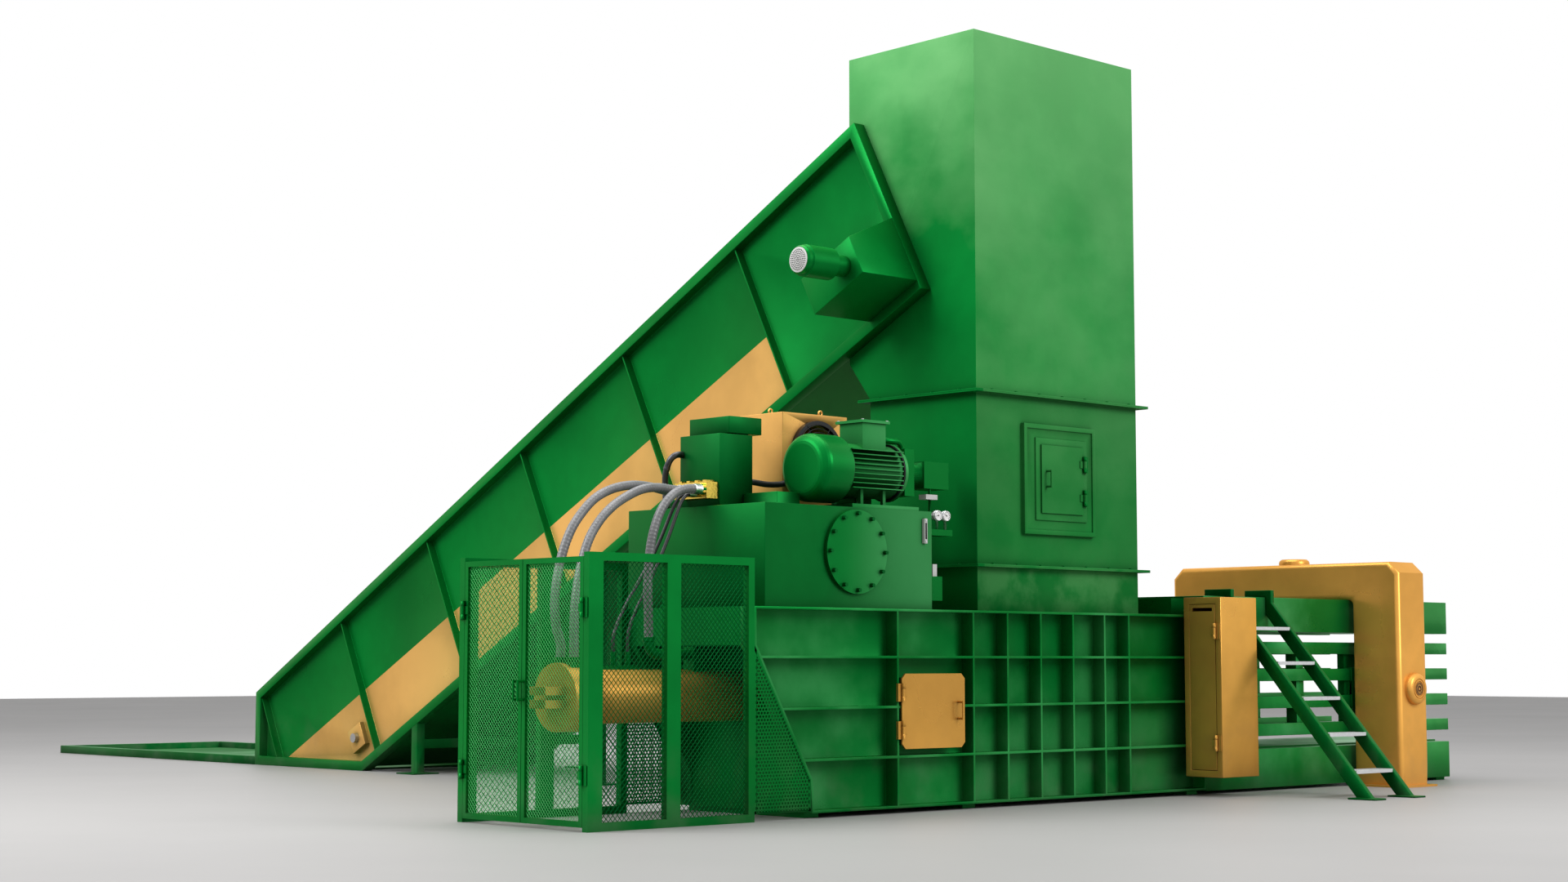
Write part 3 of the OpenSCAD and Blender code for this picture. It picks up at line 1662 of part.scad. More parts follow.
module cabinet_door() {
    y = [-half_w - cab_d + cab_lip + cab_gap, -half_w - cab_lip - cab_gap];
    z = [cab_z + cab_lip + cab_gap, cab_top - cab_lip - cab_gap];
    slot = 30;
    place() color(GOLD) {
        difference() {
            span([cab_x, cab_x + cab_door_t], y, z);
            span([cab_x - 1, cab_x + cab_door_t + 1], [y[0] + slot, y[1] - slot],
                [z[1] - 2 * slot, z[1] - slot]);
        }
        for (h = cab_hinge_z())
            translate([cab_x - knuckle_r, -half_w - cab_d + cab_lip, h])
                rotate([0, 0, 90])
                    hinge_leaf();
    }
}

// Ladder

function ladder_z(y, off) = ladder_slope * (y + ladder_foot_y) + off;
function ladder_y(z, off) = (z - off) / ladder_slope - ladder_foot_y;

module ladder() {
    top = beam_top + stub_h;
    foot = 15;
    hook_y = -half_w - stub_h;
    place() color(GREEN)
        for (x = [ladder_x, ladder_x + ladder_w - stringer_t]) {
            along_x(x, x + stringer_t)
                polygon([[ladder_y(foot, stringer_half), foot], [ladder_y(foot, -stringer_half), foot],
                    [-half_w, ladder_z(-half_w, -stringer_half)], [-half_w, beam_top], [-stub_y, beam_top],
                    [-stub_y, top], [hook_y, top], [hook_y, ladder_z(hook_y, stringer_half)]]);
            span([x - 60, x + stringer_t + 60],
                [ladder_y(0, stringer_half) - 60, ladder_y(0, -stringer_half) + 60], [0, foot]);
        }
}

module ladder_treads() {
    place() color(STEEL)
        for (i = [0:tread_n - 1]) {
            z = tread_first + i * tread_rise;
            y = ladder_y(z, 0);
            span([ladder_x + stringer_t, ladder_x + ladder_w - stringer_t],
                [y - tread_d / 2, y + tread_d / 2], [z - tread_t, z]);
        }
}

press_walls();
press_floor();
press_roof();
rear_bulkhead();
base_bearers();
ram_body();
piston_rod();
main_cylinder();
cage_frame();
cage_mesh();
cage_door_near();
cage_door_near_mesh();
cage_door_far();
cage_door_far_mesh();
hinge_pins();
inspection_door();
tower_base();
tower_mid();
tower_upper();
tower_door();
bolts();
tank();
tank_cover();
valve_cabinet();
valve_block();
cooler();
cooler_shroud();
cooler_fan();
pump_motor();
pump();
gauges();
hose_fittings();
hose_rear_a();
hose_rear_b();
hose_front();
hose_pilot_a();
hose_pilot_b();
hose_tank();
hose_cooler();
conveyor_panels();
conveyor_deck();
belt();
head_drum();
tail_drum();
drive_console();
drive_motor();
trestles();
loading_kerb();
channel_frame();
squeeze_wall_near();
squeeze_wall_far();
squeeze_platen();
portal();
plunger_near();
plunger_far();
plunger_top();
cabinet_body();
cabinet_door();
ladder();
ladder_treads();
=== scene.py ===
"""Dresses the recycling baler: paint, hoses, guard mesh, gauges, grilles and the studio round it."""

import json
import logging
import math
from collections.abc import Callable, Iterable, Sequence
from dataclasses import dataclass, field
from enum import Enum
from functools import cached_property

import bmesh
import bpy
from mathutils import Matrix, Vector


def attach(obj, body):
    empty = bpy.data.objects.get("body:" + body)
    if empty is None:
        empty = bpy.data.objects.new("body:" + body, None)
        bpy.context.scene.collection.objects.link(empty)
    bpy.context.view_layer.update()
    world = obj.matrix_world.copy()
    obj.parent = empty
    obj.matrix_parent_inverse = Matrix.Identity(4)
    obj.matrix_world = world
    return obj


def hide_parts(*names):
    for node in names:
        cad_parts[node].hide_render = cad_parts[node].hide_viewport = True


LOG = logging.getLogger("baler")
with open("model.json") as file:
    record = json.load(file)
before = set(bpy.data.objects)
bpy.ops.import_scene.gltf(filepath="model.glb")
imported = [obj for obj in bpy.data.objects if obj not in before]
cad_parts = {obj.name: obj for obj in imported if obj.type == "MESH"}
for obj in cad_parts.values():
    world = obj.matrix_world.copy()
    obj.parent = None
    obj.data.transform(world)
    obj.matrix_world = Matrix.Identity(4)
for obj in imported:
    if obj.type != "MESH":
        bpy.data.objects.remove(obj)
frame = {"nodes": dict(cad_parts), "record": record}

Point = tuple[float, float, float]
Colour = tuple[float, float, float]
Pair = tuple[float, float]
Socket = bpy.types.NodeSocket
Material = bpy.types.Material
Mesh = bpy.types.Mesh
Piece = bpy.types.Object

MID_X = 2.45
BASE = "frame"
SHARP = 35.0
WELD = 2e-5
PRISM = ((0, 1, 2, 3), (7, 6, 5, 4), (0, 4, 5, 1), (1, 5, 6, 2), (2, 6, 7, 3), (3, 7, 4, 0))
CONVEYOR_SLOPE = math.radians(27.3)
CONVEYOR_CORNER: Pair = (0.691, 5.888)

MAIN_GREEN: Colour = (0.0010, 0.165, 0.024)
# Pale green of the painted sheen patches and of the painted reflection.
SHEEN_REFLECTION_GREEN: Colour = (0.075, 0.36, 0.12)
AMBER: Colour = (1.0, 0.66, 0.26)
DUST: Colour = (0.30, 0.29, 0.25)


def at(x: float, y: float, z: float) -> Vector:
    """Turn a point counted from the rear corner of the press into the part's frame."""
    return Vector((x - MID_X, y, z))


def circle(count: int, radius: float = 1.0, start: float = 0.0) -> list[Pair]:
    """Return points evenly round a circle, from a start angle in radians."""
    angles = (start + 2 * math.pi * k / count for k in range(count))
    return [(radius * math.cos(a), radius * math.sin(a)) for a in angles]


class Axis(Enum):
    """Directions a turned piece can face; the value is the turn from +Z."""

    X = Matrix.Rotation(math.radians(90), 4, "Y")
    X_BACK = Matrix.Rotation(math.radians(-90), 4, "Y")
    Y = Matrix.Rotation(math.radians(-90), 4, "X")
    Y_BACK = Matrix.Rotation(math.radians(90), 4, "X")
    Z = Matrix.Identity(4)


class Hand(Enum):
    """Sides of the press: towards the ladder, or towards the conveyor."""

    NEAR = -1
    FAR = 1

    @property
    def word(self) -> str:
        """The side's word in the names of pieces."""
        return self.name.lower()


class Nodes:
    """A node tree with short calls to add and link its nodes."""

    def __init__(self, tree: bpy.types.NodeTree) -> None:
        """Take over a tree and empty it."""
        self.tree = tree
        self.tree.nodes.clear()

    def add(self, kind: str, feeds: dict[str | int, object] | None = None,
            **values: object) -> bpy.types.Node:
        """Add a node.

        Args:
            kind: Blender's node type.
            feeds: Values or sockets for its inputs.
            values: Properties to set on it.

        Returns:
            The new node.
        """
        node = self.tree.nodes.new(kind)
        for key, value in values.items():
            setattr(node, key, value)
        for key, value in (feeds or {}).items():
            self.feed(node.inputs[key], value)
        return node

    def feed(self, socket: Socket, value: object) -> None:
        """Set a socket to a plain value, or link another socket to it."""
        if isinstance(value, Socket):
            self.tree.links.new(value, socket)
        else:
            socket.default_value = value


class Web(Nodes):
    """A material's node tree with short calls for the nodes that the finishes share."""

    def __init__(self, name: str) -> None:
        """Start a material with a principled shader.

        Args:
            name: Name of the material.
        """
        self.material = bpy.data.materials.new(name)
        self.material.use_nodes = True
        super().__init__(self.material.node_tree)
        self.shader = self.add("ShaderNodeBsdfPrincipled")
        self.add("ShaderNodeOutputMaterial", {0: self.shader.outputs[0]})
        self.place = self.add("ShaderNodeTexCoord").outputs["Object"]

    def coat(self, feeds: dict[str, object]) -> None:
        """Feed the shader's inputs by name."""
        for key, value in feeds.items():
            self.feed(self.shader.inputs[key], value)

    def split(self) -> tuple[Socket, ...]:
        """Return the three object coordinates of a spot."""
        return tuple(self.add("ShaderNodeSeparateXYZ", {0: self.place}).outputs)

    def noise(self, scale: float, detail: float = 4.0, stretch: Point = (1, 1, 1)) -> Socket:
        """Add a noise pattern on object coordinates.

        Args:
            scale: Grains per metre.
            detail: Octaves of the pattern.
            stretch: Factors on the three axes.

        Returns:
            The value from 0 to 1.
        """
        shift = self.add("ShaderNodeMapping", {"Scale": stretch, "Vector": self.place})
        feeds = {"Vector": shift.outputs[0], "Scale": scale, "Detail": detail}
        return self.add("ShaderNodeTexNoise", feeds).outputs[0]

    def spread(self, value: object, low: float, high: float, to_low: float = 0.0,
               to_high: float = 1.0) -> Socket:
        """Map a range of values smoothly to another, clamped, and return the result."""
        feeds = {"Value": value, "From Min": low, "From Max": high, "To Min": to_low, "To Max": to_high}
        return self.add("ShaderNodeMapRange", feeds, interpolation_type="SMOOTHSTEP").outputs[0]

    def calc(self, kind: str, first: object, second: object, third: float = 0.0) -> Socket:
        """Combine two values, and a third for some kinds, with a math node and return the result."""
        return self.add("ShaderNodeMath", {0: first, 1: second, 2: third}, operation=kind).outputs[0]

    def times(self, first: object, second: object) -> Socket:
        """Multiply two values and return the result."""
        return self.calc("MULTIPLY", first, second)

    def blend(self, share: object, first: object, second: object) -> Socket:
        """Mix two colours by a share and return the result."""
        first, second = ((*c, 1.0) if isinstance(c, tuple) else c for c in (first, second))
        feeds = {"Factor": share, 6: first, 7: second}
        return self.add("ShaderNodeMix", feeds, data_type="RGBA").outputs[2]

    def corner(self, reach: float, share: float) -> Socket:
        """Measure how far a spot lies in a corner, as the share of painted shade there.

        Args:
            reach: Distance in metres over which neighbours count.
            share: Value deep in a corner; an open face gives 0.

        Returns:
            The value from 0 to the share.
        """
        node = self.add("ShaderNodeAmbientOcclusion", {"Distance": reach}, samples=6)
        return self.spread(node.outputs["AO"], 0.42, 1.0, share, 0.0)

    def bump(self, height: Socket, strength: float, depth: float) -> None:
        """Drive the shader's normal with a height pattern.

        Args:
            height: Pattern from 0 to 1.
            strength: Share of the effect.
            depth: Height in metres.
        """
        node = self.add("ShaderNodeBump", {"Strength": strength, "Distance": depth, "Height": height})
        self.coat({"Normal": node.outputs[0]})


def tone(colour: Colour, factor: float) -> Colour:
    """Return a colour made lighter or darker by a factor."""
    return tuple(min(1.0, c * factor) for c in colour)


@dataclass(frozen=True)
class Enamel:
    """Sprayed paint: cloudy colour, painted shade in corners, orange peel, dust towards the floor, and where
    set painted sheen patches and a painted reflection.
    """

    name: str
    colour: Colour
    roughness: float = 0.34
    metallic: float = 0.4
    cloud: float = 0.18
    gloss: float = 0.2
    tint: Colour = (0.06, 1.0, 0.22)
    dust: float = 0.08
    # Share of painted shade in the corners.
    shade: float = 0.62
    # Share of painted sheen: pale patches that stand for soft reflections.
    haze: float = 0.0
    # Start, end and share of a painted reflection, paler along X.
    bleach: Point = (0.0, 0.0, 0.0)
    dust_top: float = 0.9
    corner_reach: float = 0.32

    def paint(self, web: Web) -> Socket:
        """Lay the clouded colour, with the painted sheen and the painted reflection where set.

        Args:
            web: The material's nodes.

        Returns:
            The colour before dust.
        """
        broad = web.spread(web.noise(0.55, 5.0), 0.32, 0.68)
        speck = web.spread(web.noise(6.0, 6.0), 0.35, 0.7, 0.0, 0.18)
        body = web.blend(broad, tone(self.colour, 1 - self.cloud), tone(self.colour, 1 + self.cloud))
        body = web.blend(speck, body, tone(self.colour, 0.72))
        # Painted sheen in pale patches.
        if self.haze:
            body = web.blend(web.spread(web.noise(1.1, 5.0), 0.40, 0.66, 0.0, self.haze), body, SHEEN_REFLECTION_GREEN)
        # Painted reflection: paler in patches along X.
        if any(self.bleach):
            start, end, share = self.bleach
            reflection_share = web.spread(web.split()[0], start, end, 0.0, share)
            patchy_reflection = web.times(reflection_share, web.spread(web.noise(1.3, 4.0), 0.3, 0.7, 0.75, 1.0))
            body = web.blend(patchy_reflection, body, SHEEN_REFLECTION_GREEN)
        return body

    def make(self) -> Material:
        """Build and return the material."""
        web = Web(self.name)
        low = web.spread(web.split()[2], 0.0, self.dust_top, 1.0, 0.0)
        grime = web.times(low, web.spread(web.noise(3.0, 8.0), 0.42, 0.72, 0.0, self.dust))
        # Painted shade: darker in the corners, from ambient occlusion.
        colour = web.blend(web.corner(self.corner_reach, self.shade), self.paint(web), tone(self.colour, 0.3))
        rough = web.spread(web.noise(0.8, 6.0), 0.3, 0.7, self.roughness - 0.07, self.roughness + 0.1)
        web.coat({"Base Color": web.blend(grime, colour, DUST),
                  "Roughness": web.calc("ADD", rough, web.times(grime, 0.8)),
                  "Metallic": self.metallic, "Specular IOR Level": self.gloss,
                  "Specular Tint": (*self.tint, 1.0)})
        web.bump(web.noise(160.0, 2.0), 0.12, 0.0006)
        return web.material


@dataclass(frozen=True)
class StripedEnamel(Enamel):
    """Green enamel with a second colour in a band down the conveyor's side panels."""

    band: Colour = (0.64, 0.34, 0.10)
    depth: Pair = (1.0, 1.6)
    taper: float = 0.011
    start: float = 1.823
    skins: Pair = (0.156, 2.294)
    skin: float = 0.002
    bearing: Point = (8.471, 0.350, 0.186)

    def paint(self, web: Web) -> Socket:
        """Lay the green, mask the band by place on the panel and return the colour before dust."""
        green = Enamel.paint(self, web)
        x, y, z = web.split()
        along = web.calc("SUBTRACT", y, CONVEYOR_CORNER[0])
        down = web.calc("SUBTRACT", CONVEYOR_CORNER[1], z)
        cos, sin = math.cos(CONVEYOR_SLOPE), math.sin(CONVEYOR_SLOPE)
        u = web.calc("ADD", web.times(along, cos), web.times(down, sin))
        v = web.calc("SUBTRACT", web.times(down, cos), web.times(along, sin))
        near, far = (web.calc("COMPARE", x, place, self.skin) for place in self.skins)
        mask = web.calc("MAXIMUM", near, far)
        lift = web.times(web.calc("SUBTRACT", u, self.start), self.taper)
        for part in (web.calc("GREATER_THAN", web.calc("ADD", v, lift), self.depth[0]),
                     web.calc("LESS_THAN", v, self.depth[1]), web.calc("GREATER_THAN", u, self.start)):
            mask = web.times(mask, part)
        off_y, off_z = (web.calc("POWER", web.calc("SUBTRACT", spot, middle), 2.0)
                        for spot, middle in zip((y, z), self.bearing))
        block = web.calc("LESS_THAN", web.calc("ADD", off_y, off_z), self.bearing[2] ** 2)
        cloud = web.spread(web.noise(0.9, 6.0), 0.35, 0.65)
        gold = web.blend(cloud, tone(self.band, 0.86), tone(self.band, 1.12))
        return web.blend(web.calc("MAXIMUM", mask, block), green, gold)


@dataclass(frozen=True)
class FadedEnamel(Enamel):
    """Enamel with a painted reflection, paler in clouds towards the top of the feed tower, and painted shade
    on its shady rear face.
    """

    # Pale colour of the painted reflection.
    pale: Colour = (0.17, 0.46, 0.17)
    rise: Pair = (3.6, 7.0)
    shares: Pair = (0.12, 0.74)
    rear: float = 0.178
    skin: float = 0.002
    shadow: Point = (5.0, 6.2, 0.42)
    patch: float = 0.15
    rear_patch: float = 1.7
    # Heights and shares of the paler mottling round the tower's foot.
    splash: tuple[float, float, float, float] = (1.94, 2.0, 0.22, 0.03)

    def paint(self, web: Web) -> Socket:
        """Blend to the pale colour of the painted reflection by height and in patches, less on the shady rear
        face as painted shade, and return the colour before dust.
        """
        body = Enamel.paint(self, web)
        x, _, z = web.split()
        # Painted reflection, paler towards the top.
        reflection_share = web.spread(z, *self.rise, *self.shares)
        # Painted shade on the rear face takes back some of the paleness.
        shady = web.times(web.calc("LESS_THAN", x, self.rear), web.spread(z, *self.shadow, 0.0))
        # Patches of the painted reflection, stronger on the rear face.
        patches = web.spread(web.noise(0.46, 6.0, (1.0, 1.0, 1.5)), 0.36, 0.66, -self.patch, self.patch)
        stronger = web.spread(x, self.rear, self.rear + self.skin, self.rear_patch, 1.0)
        clouds = web.times(web.times(stronger, patches), web.spread(z, 1.6, 4.6, 0.35, 1.0))
        mottle = web.spread(web.noise(2.6, 7.0), 0.42, 0.62, -0.3, 1.0)
        # Paler mottling round the tower's foot, below about 2 m.
        low = web.times(web.spread(z, *self.splash), mottle)
        share = web.calc("ADD", web.calc("SUBTRACT", reflection_share, shady), web.calc("ADD", clouds, low))
        share.node.use_clamp = True
        return web.blend(share, body, self.pale)


@dataclass(frozen=True)
class BareMetal:
    """Bare or plated metal with fine brushing along one axis and a few stains."""

    name: str
    colour: Colour
    roughness: float = 0.32
    grain: Point = (1, 1, 12)
    stain: float = 0.25

    def make(self) -> Material:
        """Build and return the material."""
        web = Web(self.name)
        brushed = web.noise(60.0, 5.0, self.grain)
        stains = web.spread(web.noise(5.0, 7.0), 0.52, 0.75, 0.0, self.stain)
        body = web.blend(brushed, tone(self.colour, 0.82), tone(self.colour, 1.1))
        rough = web.spread(brushed, 0.3, 0.7, self.roughness - 0.06, self.roughness + 0.08)
        web.coat({"Base Color": web.blend(stains, body, tone(self.colour, 0.4)),
                  "Roughness": web.calc("ADD", rough, stains), "Metallic": 1.0})
        web.bump(brushed, 0.15, 0.0004)
        return web.material


@dataclass(frozen=True)
class Moulded:
    """Rubber, plastic or another dull moulded surface with a fine pebble grain."""

    name: str
    colour: Colour
    roughness: float = 0.62
    grain: float = 220.0
    relief: float = 0.0008
    variation: float = 0.2

    def make(self) -> Material:
        """Build and return the material."""
        web = Web(self.name)
        cloud = web.spread(web.noise(9.0, 6.0), 0.32, 0.7)
        dark, light = (tone(self.colour, 1 + side * self.variation) for side in (-1, 1))
        rough = web.spread(web.noise(30.0, 4.0), 0.3, 0.7, self.roughness - 0.08, self.roughness + 0.08)
        web.coat({"Base Color": web.blend(cloud, dark, light), "Roughness": rough})
        web.bump(web.noise(self.grain, 3.0), 0.3, self.relief)
        return web.material


class Finish(Enum):
    """Every finish of the machine; the value is its recipe."""

    GREEN = Enamel("green_enamel", MAIN_GREEN)
    DEEP_GREEN = Enamel("deep_green_enamel", (0.0008, 0.092, 0.015), 0.36, cloud=0.3, dust=0.12)
    # Main green with painted sheen in pale patches, for the soft reflections on the press walls.
    HAZED = Enamel("hazed_enamel", MAIN_GREEN, haze=0.42)
    # Painted shade: a darker green for the shadow over the tank, with a painted reflection paler towards the
    # tower.
    TANK = Enamel("tank_enamel", (0.0008, 0.105, 0.016), 0.36, cloud=0.2, bleach=(-1.75, -0.45, 0.55))
    # Painted reflection: paler towards the motor's flange end.
    MOTOR = Enamel("motor_enamel", (0.0010, 0.150, 0.022), cloud=0.12, bleach=(-1.55, -0.75, 0.7))
    # A lighter green as painted light for the channel's lit faces, with painted sheen patches.
    BARS = Enamel("bar_enamel", (0.0012, 0.200, 0.030), haze=0.75)
    # A far lighter green than the bay mesh: painted highlight for the glints on the door strands.
    DOOR_MESH = Enamel("door_mesh_enamel", (0.05, 0.50, 0.11), 0.3, 0.0, 0.12, 0.35, (0.3, 1.0, 0.45),
                       dust=0.0, shade=0.0)
    BAY_MESH = Enamel("bay_mesh_enamel", (0.001, 0.115, 0.025), 0.34, 0.2, 0.12, dust=0.0, shade=0.0)
    # Painted reflection and painted shade on the feed tower.
    FADED = FadedEnamel("faded_enamel", MAIN_GREEN, 0.58, 0.0, gloss=0.08)
    STRIPED = StripedEnamel("striped_enamel", (0.0010, 0.155, 0.022))
    OCHRE = Enamel("ochre_enamel", (0.62, 0.32, 0.065), 0.31, 0.55, 0.14, tint=(1.0, 0.62, 0.2))
    # A lighter copy of the ochre: painted light for the cooler's lit face.
    COOLER = Enamel("cooler_enamel", (0.86, 0.46, 0.13), 0.31, 0.4, 0.10, tint=AMBER)
    # A lighter copy of the ochre with less corner shade: painted light for the portal's lit rear face.
    PORTAL = Enamel("portal_enamel", (0.77, 0.38, 0.08), 0.30, 0.45, 0.16, tint=AMBER, shade=0.3)
    BLACK = Enamel("satin_black", (0.012, 0.012, 0.013), 0.42, 0.0, 0.3, 0.25, (1.0, 1.0, 1.0), 0.1)
    STEEL = BareMetal("zinc_steel", (0.62, 0.63, 0.64))
    CHROME = BareMetal("hard_chrome", (0.80, 0.80, 0.81), 0.14, (14, 1, 1), 0.08)
    WORN_STEEL = BareMetal("worn_plate", (0.42, 0.41, 0.40), 0.42, (16, 1, 1), 0.5)
    BRASS = BareMetal("yellow_zinc", (0.80, 0.55, 0.10), 0.28, (1, 8, 1), 0.3)
    FITTING = BareMetal("black_steel", (0.075, 0.076, 0.08), 0.36, (1, 1, 1), 0.3)
    TREAD = BareMetal("galvanised", (0.68, 0.69, 0.70), 0.46, (1, 1, 1), 0.2)
    BELT = Moulded("belt_rubber", (0.030, 0.030, 0.032), 0.7, 90.0, 0.002)
    HOSE = Moulded("grey_hose_guard", (0.15, 0.15, 0.155), 0.42, 300.0, 0.0004, 0.12)
    DARK_HOSE = Moulded("black_hose", (0.016, 0.017, 0.018), 0.5, 400.0, 0.0003)
    PALE = Moulded("pale_grey", (0.50, 0.50, 0.49), 0.5, 150.0, 0.0003, 0.08)
    DIAL = Moulded("dial_white", (0.80, 0.80, 0.78), 0.35, 60.0, 0.0001, 0.03)
    VOID = Moulded("dark_slot", (0.006, 0.007, 0.007), 0.8, 80.0, 0.0005)

    @cached_property
    def material(self) -> Material:
        """The finish's material, made on first use."""
        return self.value.make()


def placed(name: str, data: bpy.types.ID) -> Piece:
    """Make an object of a mesh, lamp or camera and link it to the scene."""
    piece = bpy.data.objects.new(name, data)
    bpy.context.scene.collection.objects.link(piece)
    return piece


@dataclass
class Sketch:
    """Collects the corners and faces of one piece."""

    name: str
    corners: list[Vector] = field(default_factory=list)
    faces: list[tuple[int, ...]] = field(default_factory=list)

    def grow(self, corners: Sequence[Vector], faces: Iterable[Sequence[int]]) -> None:
        """Add a closed shape.

        Args:
            corners: Points of the shape.
            faces: Faces, counted from the shape's first point.
        """
        base = len(self.corners)
        self.corners.extend(corners)
        self.faces.extend(tuple(base + i for i in face) for face in faces)

    def box(self, low: Vector, high: Vector) -> None:
        """Add a box between two corners."""
        xs, ys, zs = zip(low, high)
        corners = [Vector((x, y, z)) for x in xs for y in ys for z in zs]
        self.grow(corners, [(0, 1, 3, 2), (4, 6, 7, 5), (0, 4, 5, 1),
                            (2, 3, 7, 6), (0, 2, 6, 4), (1, 5, 7, 3)])

    def skin(self, corners: Sequence[Vector], sides: int, ring: bool = False) -> None:
        """Close a stack of rings of points.

        Args:
            corners: Points, ring after ring.
            sides: Points in a ring.
            ring: True if the last ring joins the first one instead of ending in a cap.
        """
        rows = len(corners) // sides
        faces: list[tuple[int, ...]] = []
        for row in range(rows if ring else rows - 1):
            base, above = row * sides, (row + 1) % rows * sides
            for k in range(sides):
                n = (k + 1) % sides
                faces.append((base + k, base + n, above + n, above + k))
        if not ring:
            last = (rows - 1) * sides
            faces += [tuple(reversed(range(sides))), tuple(range(last, last + sides))]
        self.grow(corners, faces)

    def turned(self, origin: Vector, axis: Axis, profile: Sequence[Pair], sides: int = 32,
               ring: bool = False) -> None:
        """Add a turned shape.

        Args:
            origin: Where the axis starts.
            axis: Direction of the axis.
            profile: Radius and distance along the axis, from the start to the end.
            sides: Faces round the axis.
            ring: True if the profile closes on itself round a hole.
        """
        turn = axis.value.to_3x3()
        self.skin([origin + turn @ Vector((*spot, along)) for radius, along in profile
                   for spot in circle(sides, radius)], sides, ring)

    def tube(self, path: Sequence[Vector], radii: Sequence[float], sides: int = 16) -> None:
        """Sweep a round section along a path with no twist.

        Args:
            path: Points of the centreline.
            radii: Radius at each point.
            sides: Faces round the section.
        """
        corners: list[Vector] = []
        normal = Vector((0, 1, 0))
        for i, (point, radius) in enumerate(zip(path, radii)):
            ahead = (path[min(i + 1, len(path) - 1)] - path[max(i - 1, 0)]).normalized()
            normal = (normal - ahead * normal.dot(ahead)).normalized()
            side = ahead.cross(normal)
            corners += [point + radius * (c * normal + s * side) for c, s in circle(sides)]
        self.skin(corners, sides)

    def finish(self, finish: Finish, sharp: float = SHARP, bevel: float = 0.0) -> Piece:
        """Turn the faces into a piece that rides on the base.

        Args:
            finish: Finish of the piece.
            sharp: Angle in degrees over which an edge stays sharp.
            bevel: Width of the rounded edges, or 0.

        Returns:
            The finished piece.
        """
        mesh = bpy.data.meshes.new(self.name)
        mesh.from_pydata([tuple(c) for c in self.corners], [], self.faces)
        mesh.materials.append(finish.material)
        shape = bmesh.new()
        shape.from_mesh(mesh)
        bmesh.ops.recalc_face_normals(shape, faces=shape.faces)
        shape.to_mesh(mesh)
        shape.free()
        piece = placed(self.name, mesh)
        if bevel:
            tool = piece.modifiers.new("round", "BEVEL")
            tool.width = bevel
            tool.segments = 2
            tool.limit_method = "ANGLE"
            tool.angle_limit = math.radians(32)
            tool.harden_normals = True
            apply_modifiers(piece)
        return settle(piece, BASE, sharp)


def settle(piece: Piece, body: str, sharp: float = SHARP) -> Piece:
    """Shade a piece and let it ride on a body.

    Args:
        piece: The new object.
        body: Body that carries it.
        sharp: Angle in degrees over which an edge stays sharp.

    Returns:
        The same piece.
    """
    piece.data.polygons.foreach_set("use_smooth", [True] * len(piece.data.polygons))
    piece.data.set_sharp_from_angle(angle=math.radians(sharp))
    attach(piece, body)
    LOG.info("%s: %d faces on %s", piece.name, len(piece.data.polygons), body)
    return piece


def apply_modifiers(piece: Piece) -> None:
    """Replace a piece's mesh by its evaluated mesh and drop its modifiers."""
    graph = bpy.context.evaluated_depsgraph_get()
    mesh = bpy.data.meshes.new_from_object(piece.evaluated_get(graph), depsgraph=graph)
    piece.modifiers.clear()
    piece.data = mesh


class Tree(Nodes):
    """A geometry node tree with named inputs."""

    def __init__(self, name: str, sizes: dict[str, float]) -> None:
        """Start a tree that takes a mesh, sizes and a material.

        Args:
            name: Name of the tree.
            sizes: Named float inputs with their defaults.
        """
        super().__init__(bpy.data.node_groups.new(name, "GeometryNodeTree"))
        face = self.tree.interface
        face.new_socket("Geometry", in_out="INPUT", socket_type="NodeSocketGeometry")
        for key, value in sizes.items():
            face.new_socket(key, in_out="INPUT", socket_type="NodeSocketFloat").default_value = value
        face.new_socket("Finish", in_out="INPUT", socket_type="NodeSocketMaterial")
        face.new_socket("Geometry", in_out="OUTPUT", socket_type="NodeSocketGeometry")
        self.inlet = self.add("NodeGroupInput").outputs

    def close(self, shape: Socket) -> "Tree":
        """Realise the instances, set the finish and end the tree.

        Args:
            shape: Geometry to hand out.

        Returns:
            The finished tree.
        """
        real = self.add("GeometryNodeRealizeInstances", {0: shape})
        coat = self.add("GeometryNodeSetMaterial", {"Geometry": real.outputs[0],
                                                    "Material": self.inlet["Finish"]})
        self.add("NodeGroupOutput", {0: coat.outputs[0]})
        return self

    def sweep(self, section: bpy.types.Node, tilted: bool = False) -> "Tree":
        """Sweep a section along the edges of the seed mesh and end the tree.

        Args:
            section: Node that gives the section.
            tilted: True if the tree's tilt turns the section.

        Returns:
            The finished tree.
        """
        line = self.add("GeometryNodeMeshToCurve", {"Mesh": self.inlet["Geometry"]}).outputs[0]
        if tilted:
            feeds = {"Curve": line, "Tilt": self.inlet["Tilt"]}
            line = self.add("GeometryNodeSetCurveTilt", feeds).outputs[0]
        feeds = {"Curve": line, "Profile Curve": section.outputs[0], "Fill Caps": True}
        return self.close(self.add("GeometryNodeCurveToMesh", feeds).outputs[0])

    def run(self, name: str, seed: Mesh, finish: Finish, body: str = BASE, sharp: float = SHARP,
            **sizes: float) -> Piece:
        """Grow a piece from a seed mesh.

        Args:
            name: Name of the piece.
            seed: Points or edges that the tree works on.
            finish: Finish of the piece.
            body: Body that carries the piece.
            sharp: Angle in degrees over which an edge stays sharp.
            sizes: Values for the tree's sizes.

        Returns:
            The finished piece.
        """
        piece = placed(name, seed)
        tool = piece.modifiers.new("grow", "NODES")
        tool.node_group = self.tree
        wanted = {"Finish": finish.material} | sizes
        for item in self.tree.interface.items_tree:
            if item.in_out == "INPUT" and item.name in wanted:
                tool[item.identifier] = wanted[item.name]
        apply_modifiers(piece)
        return settle(piece, body, sharp)


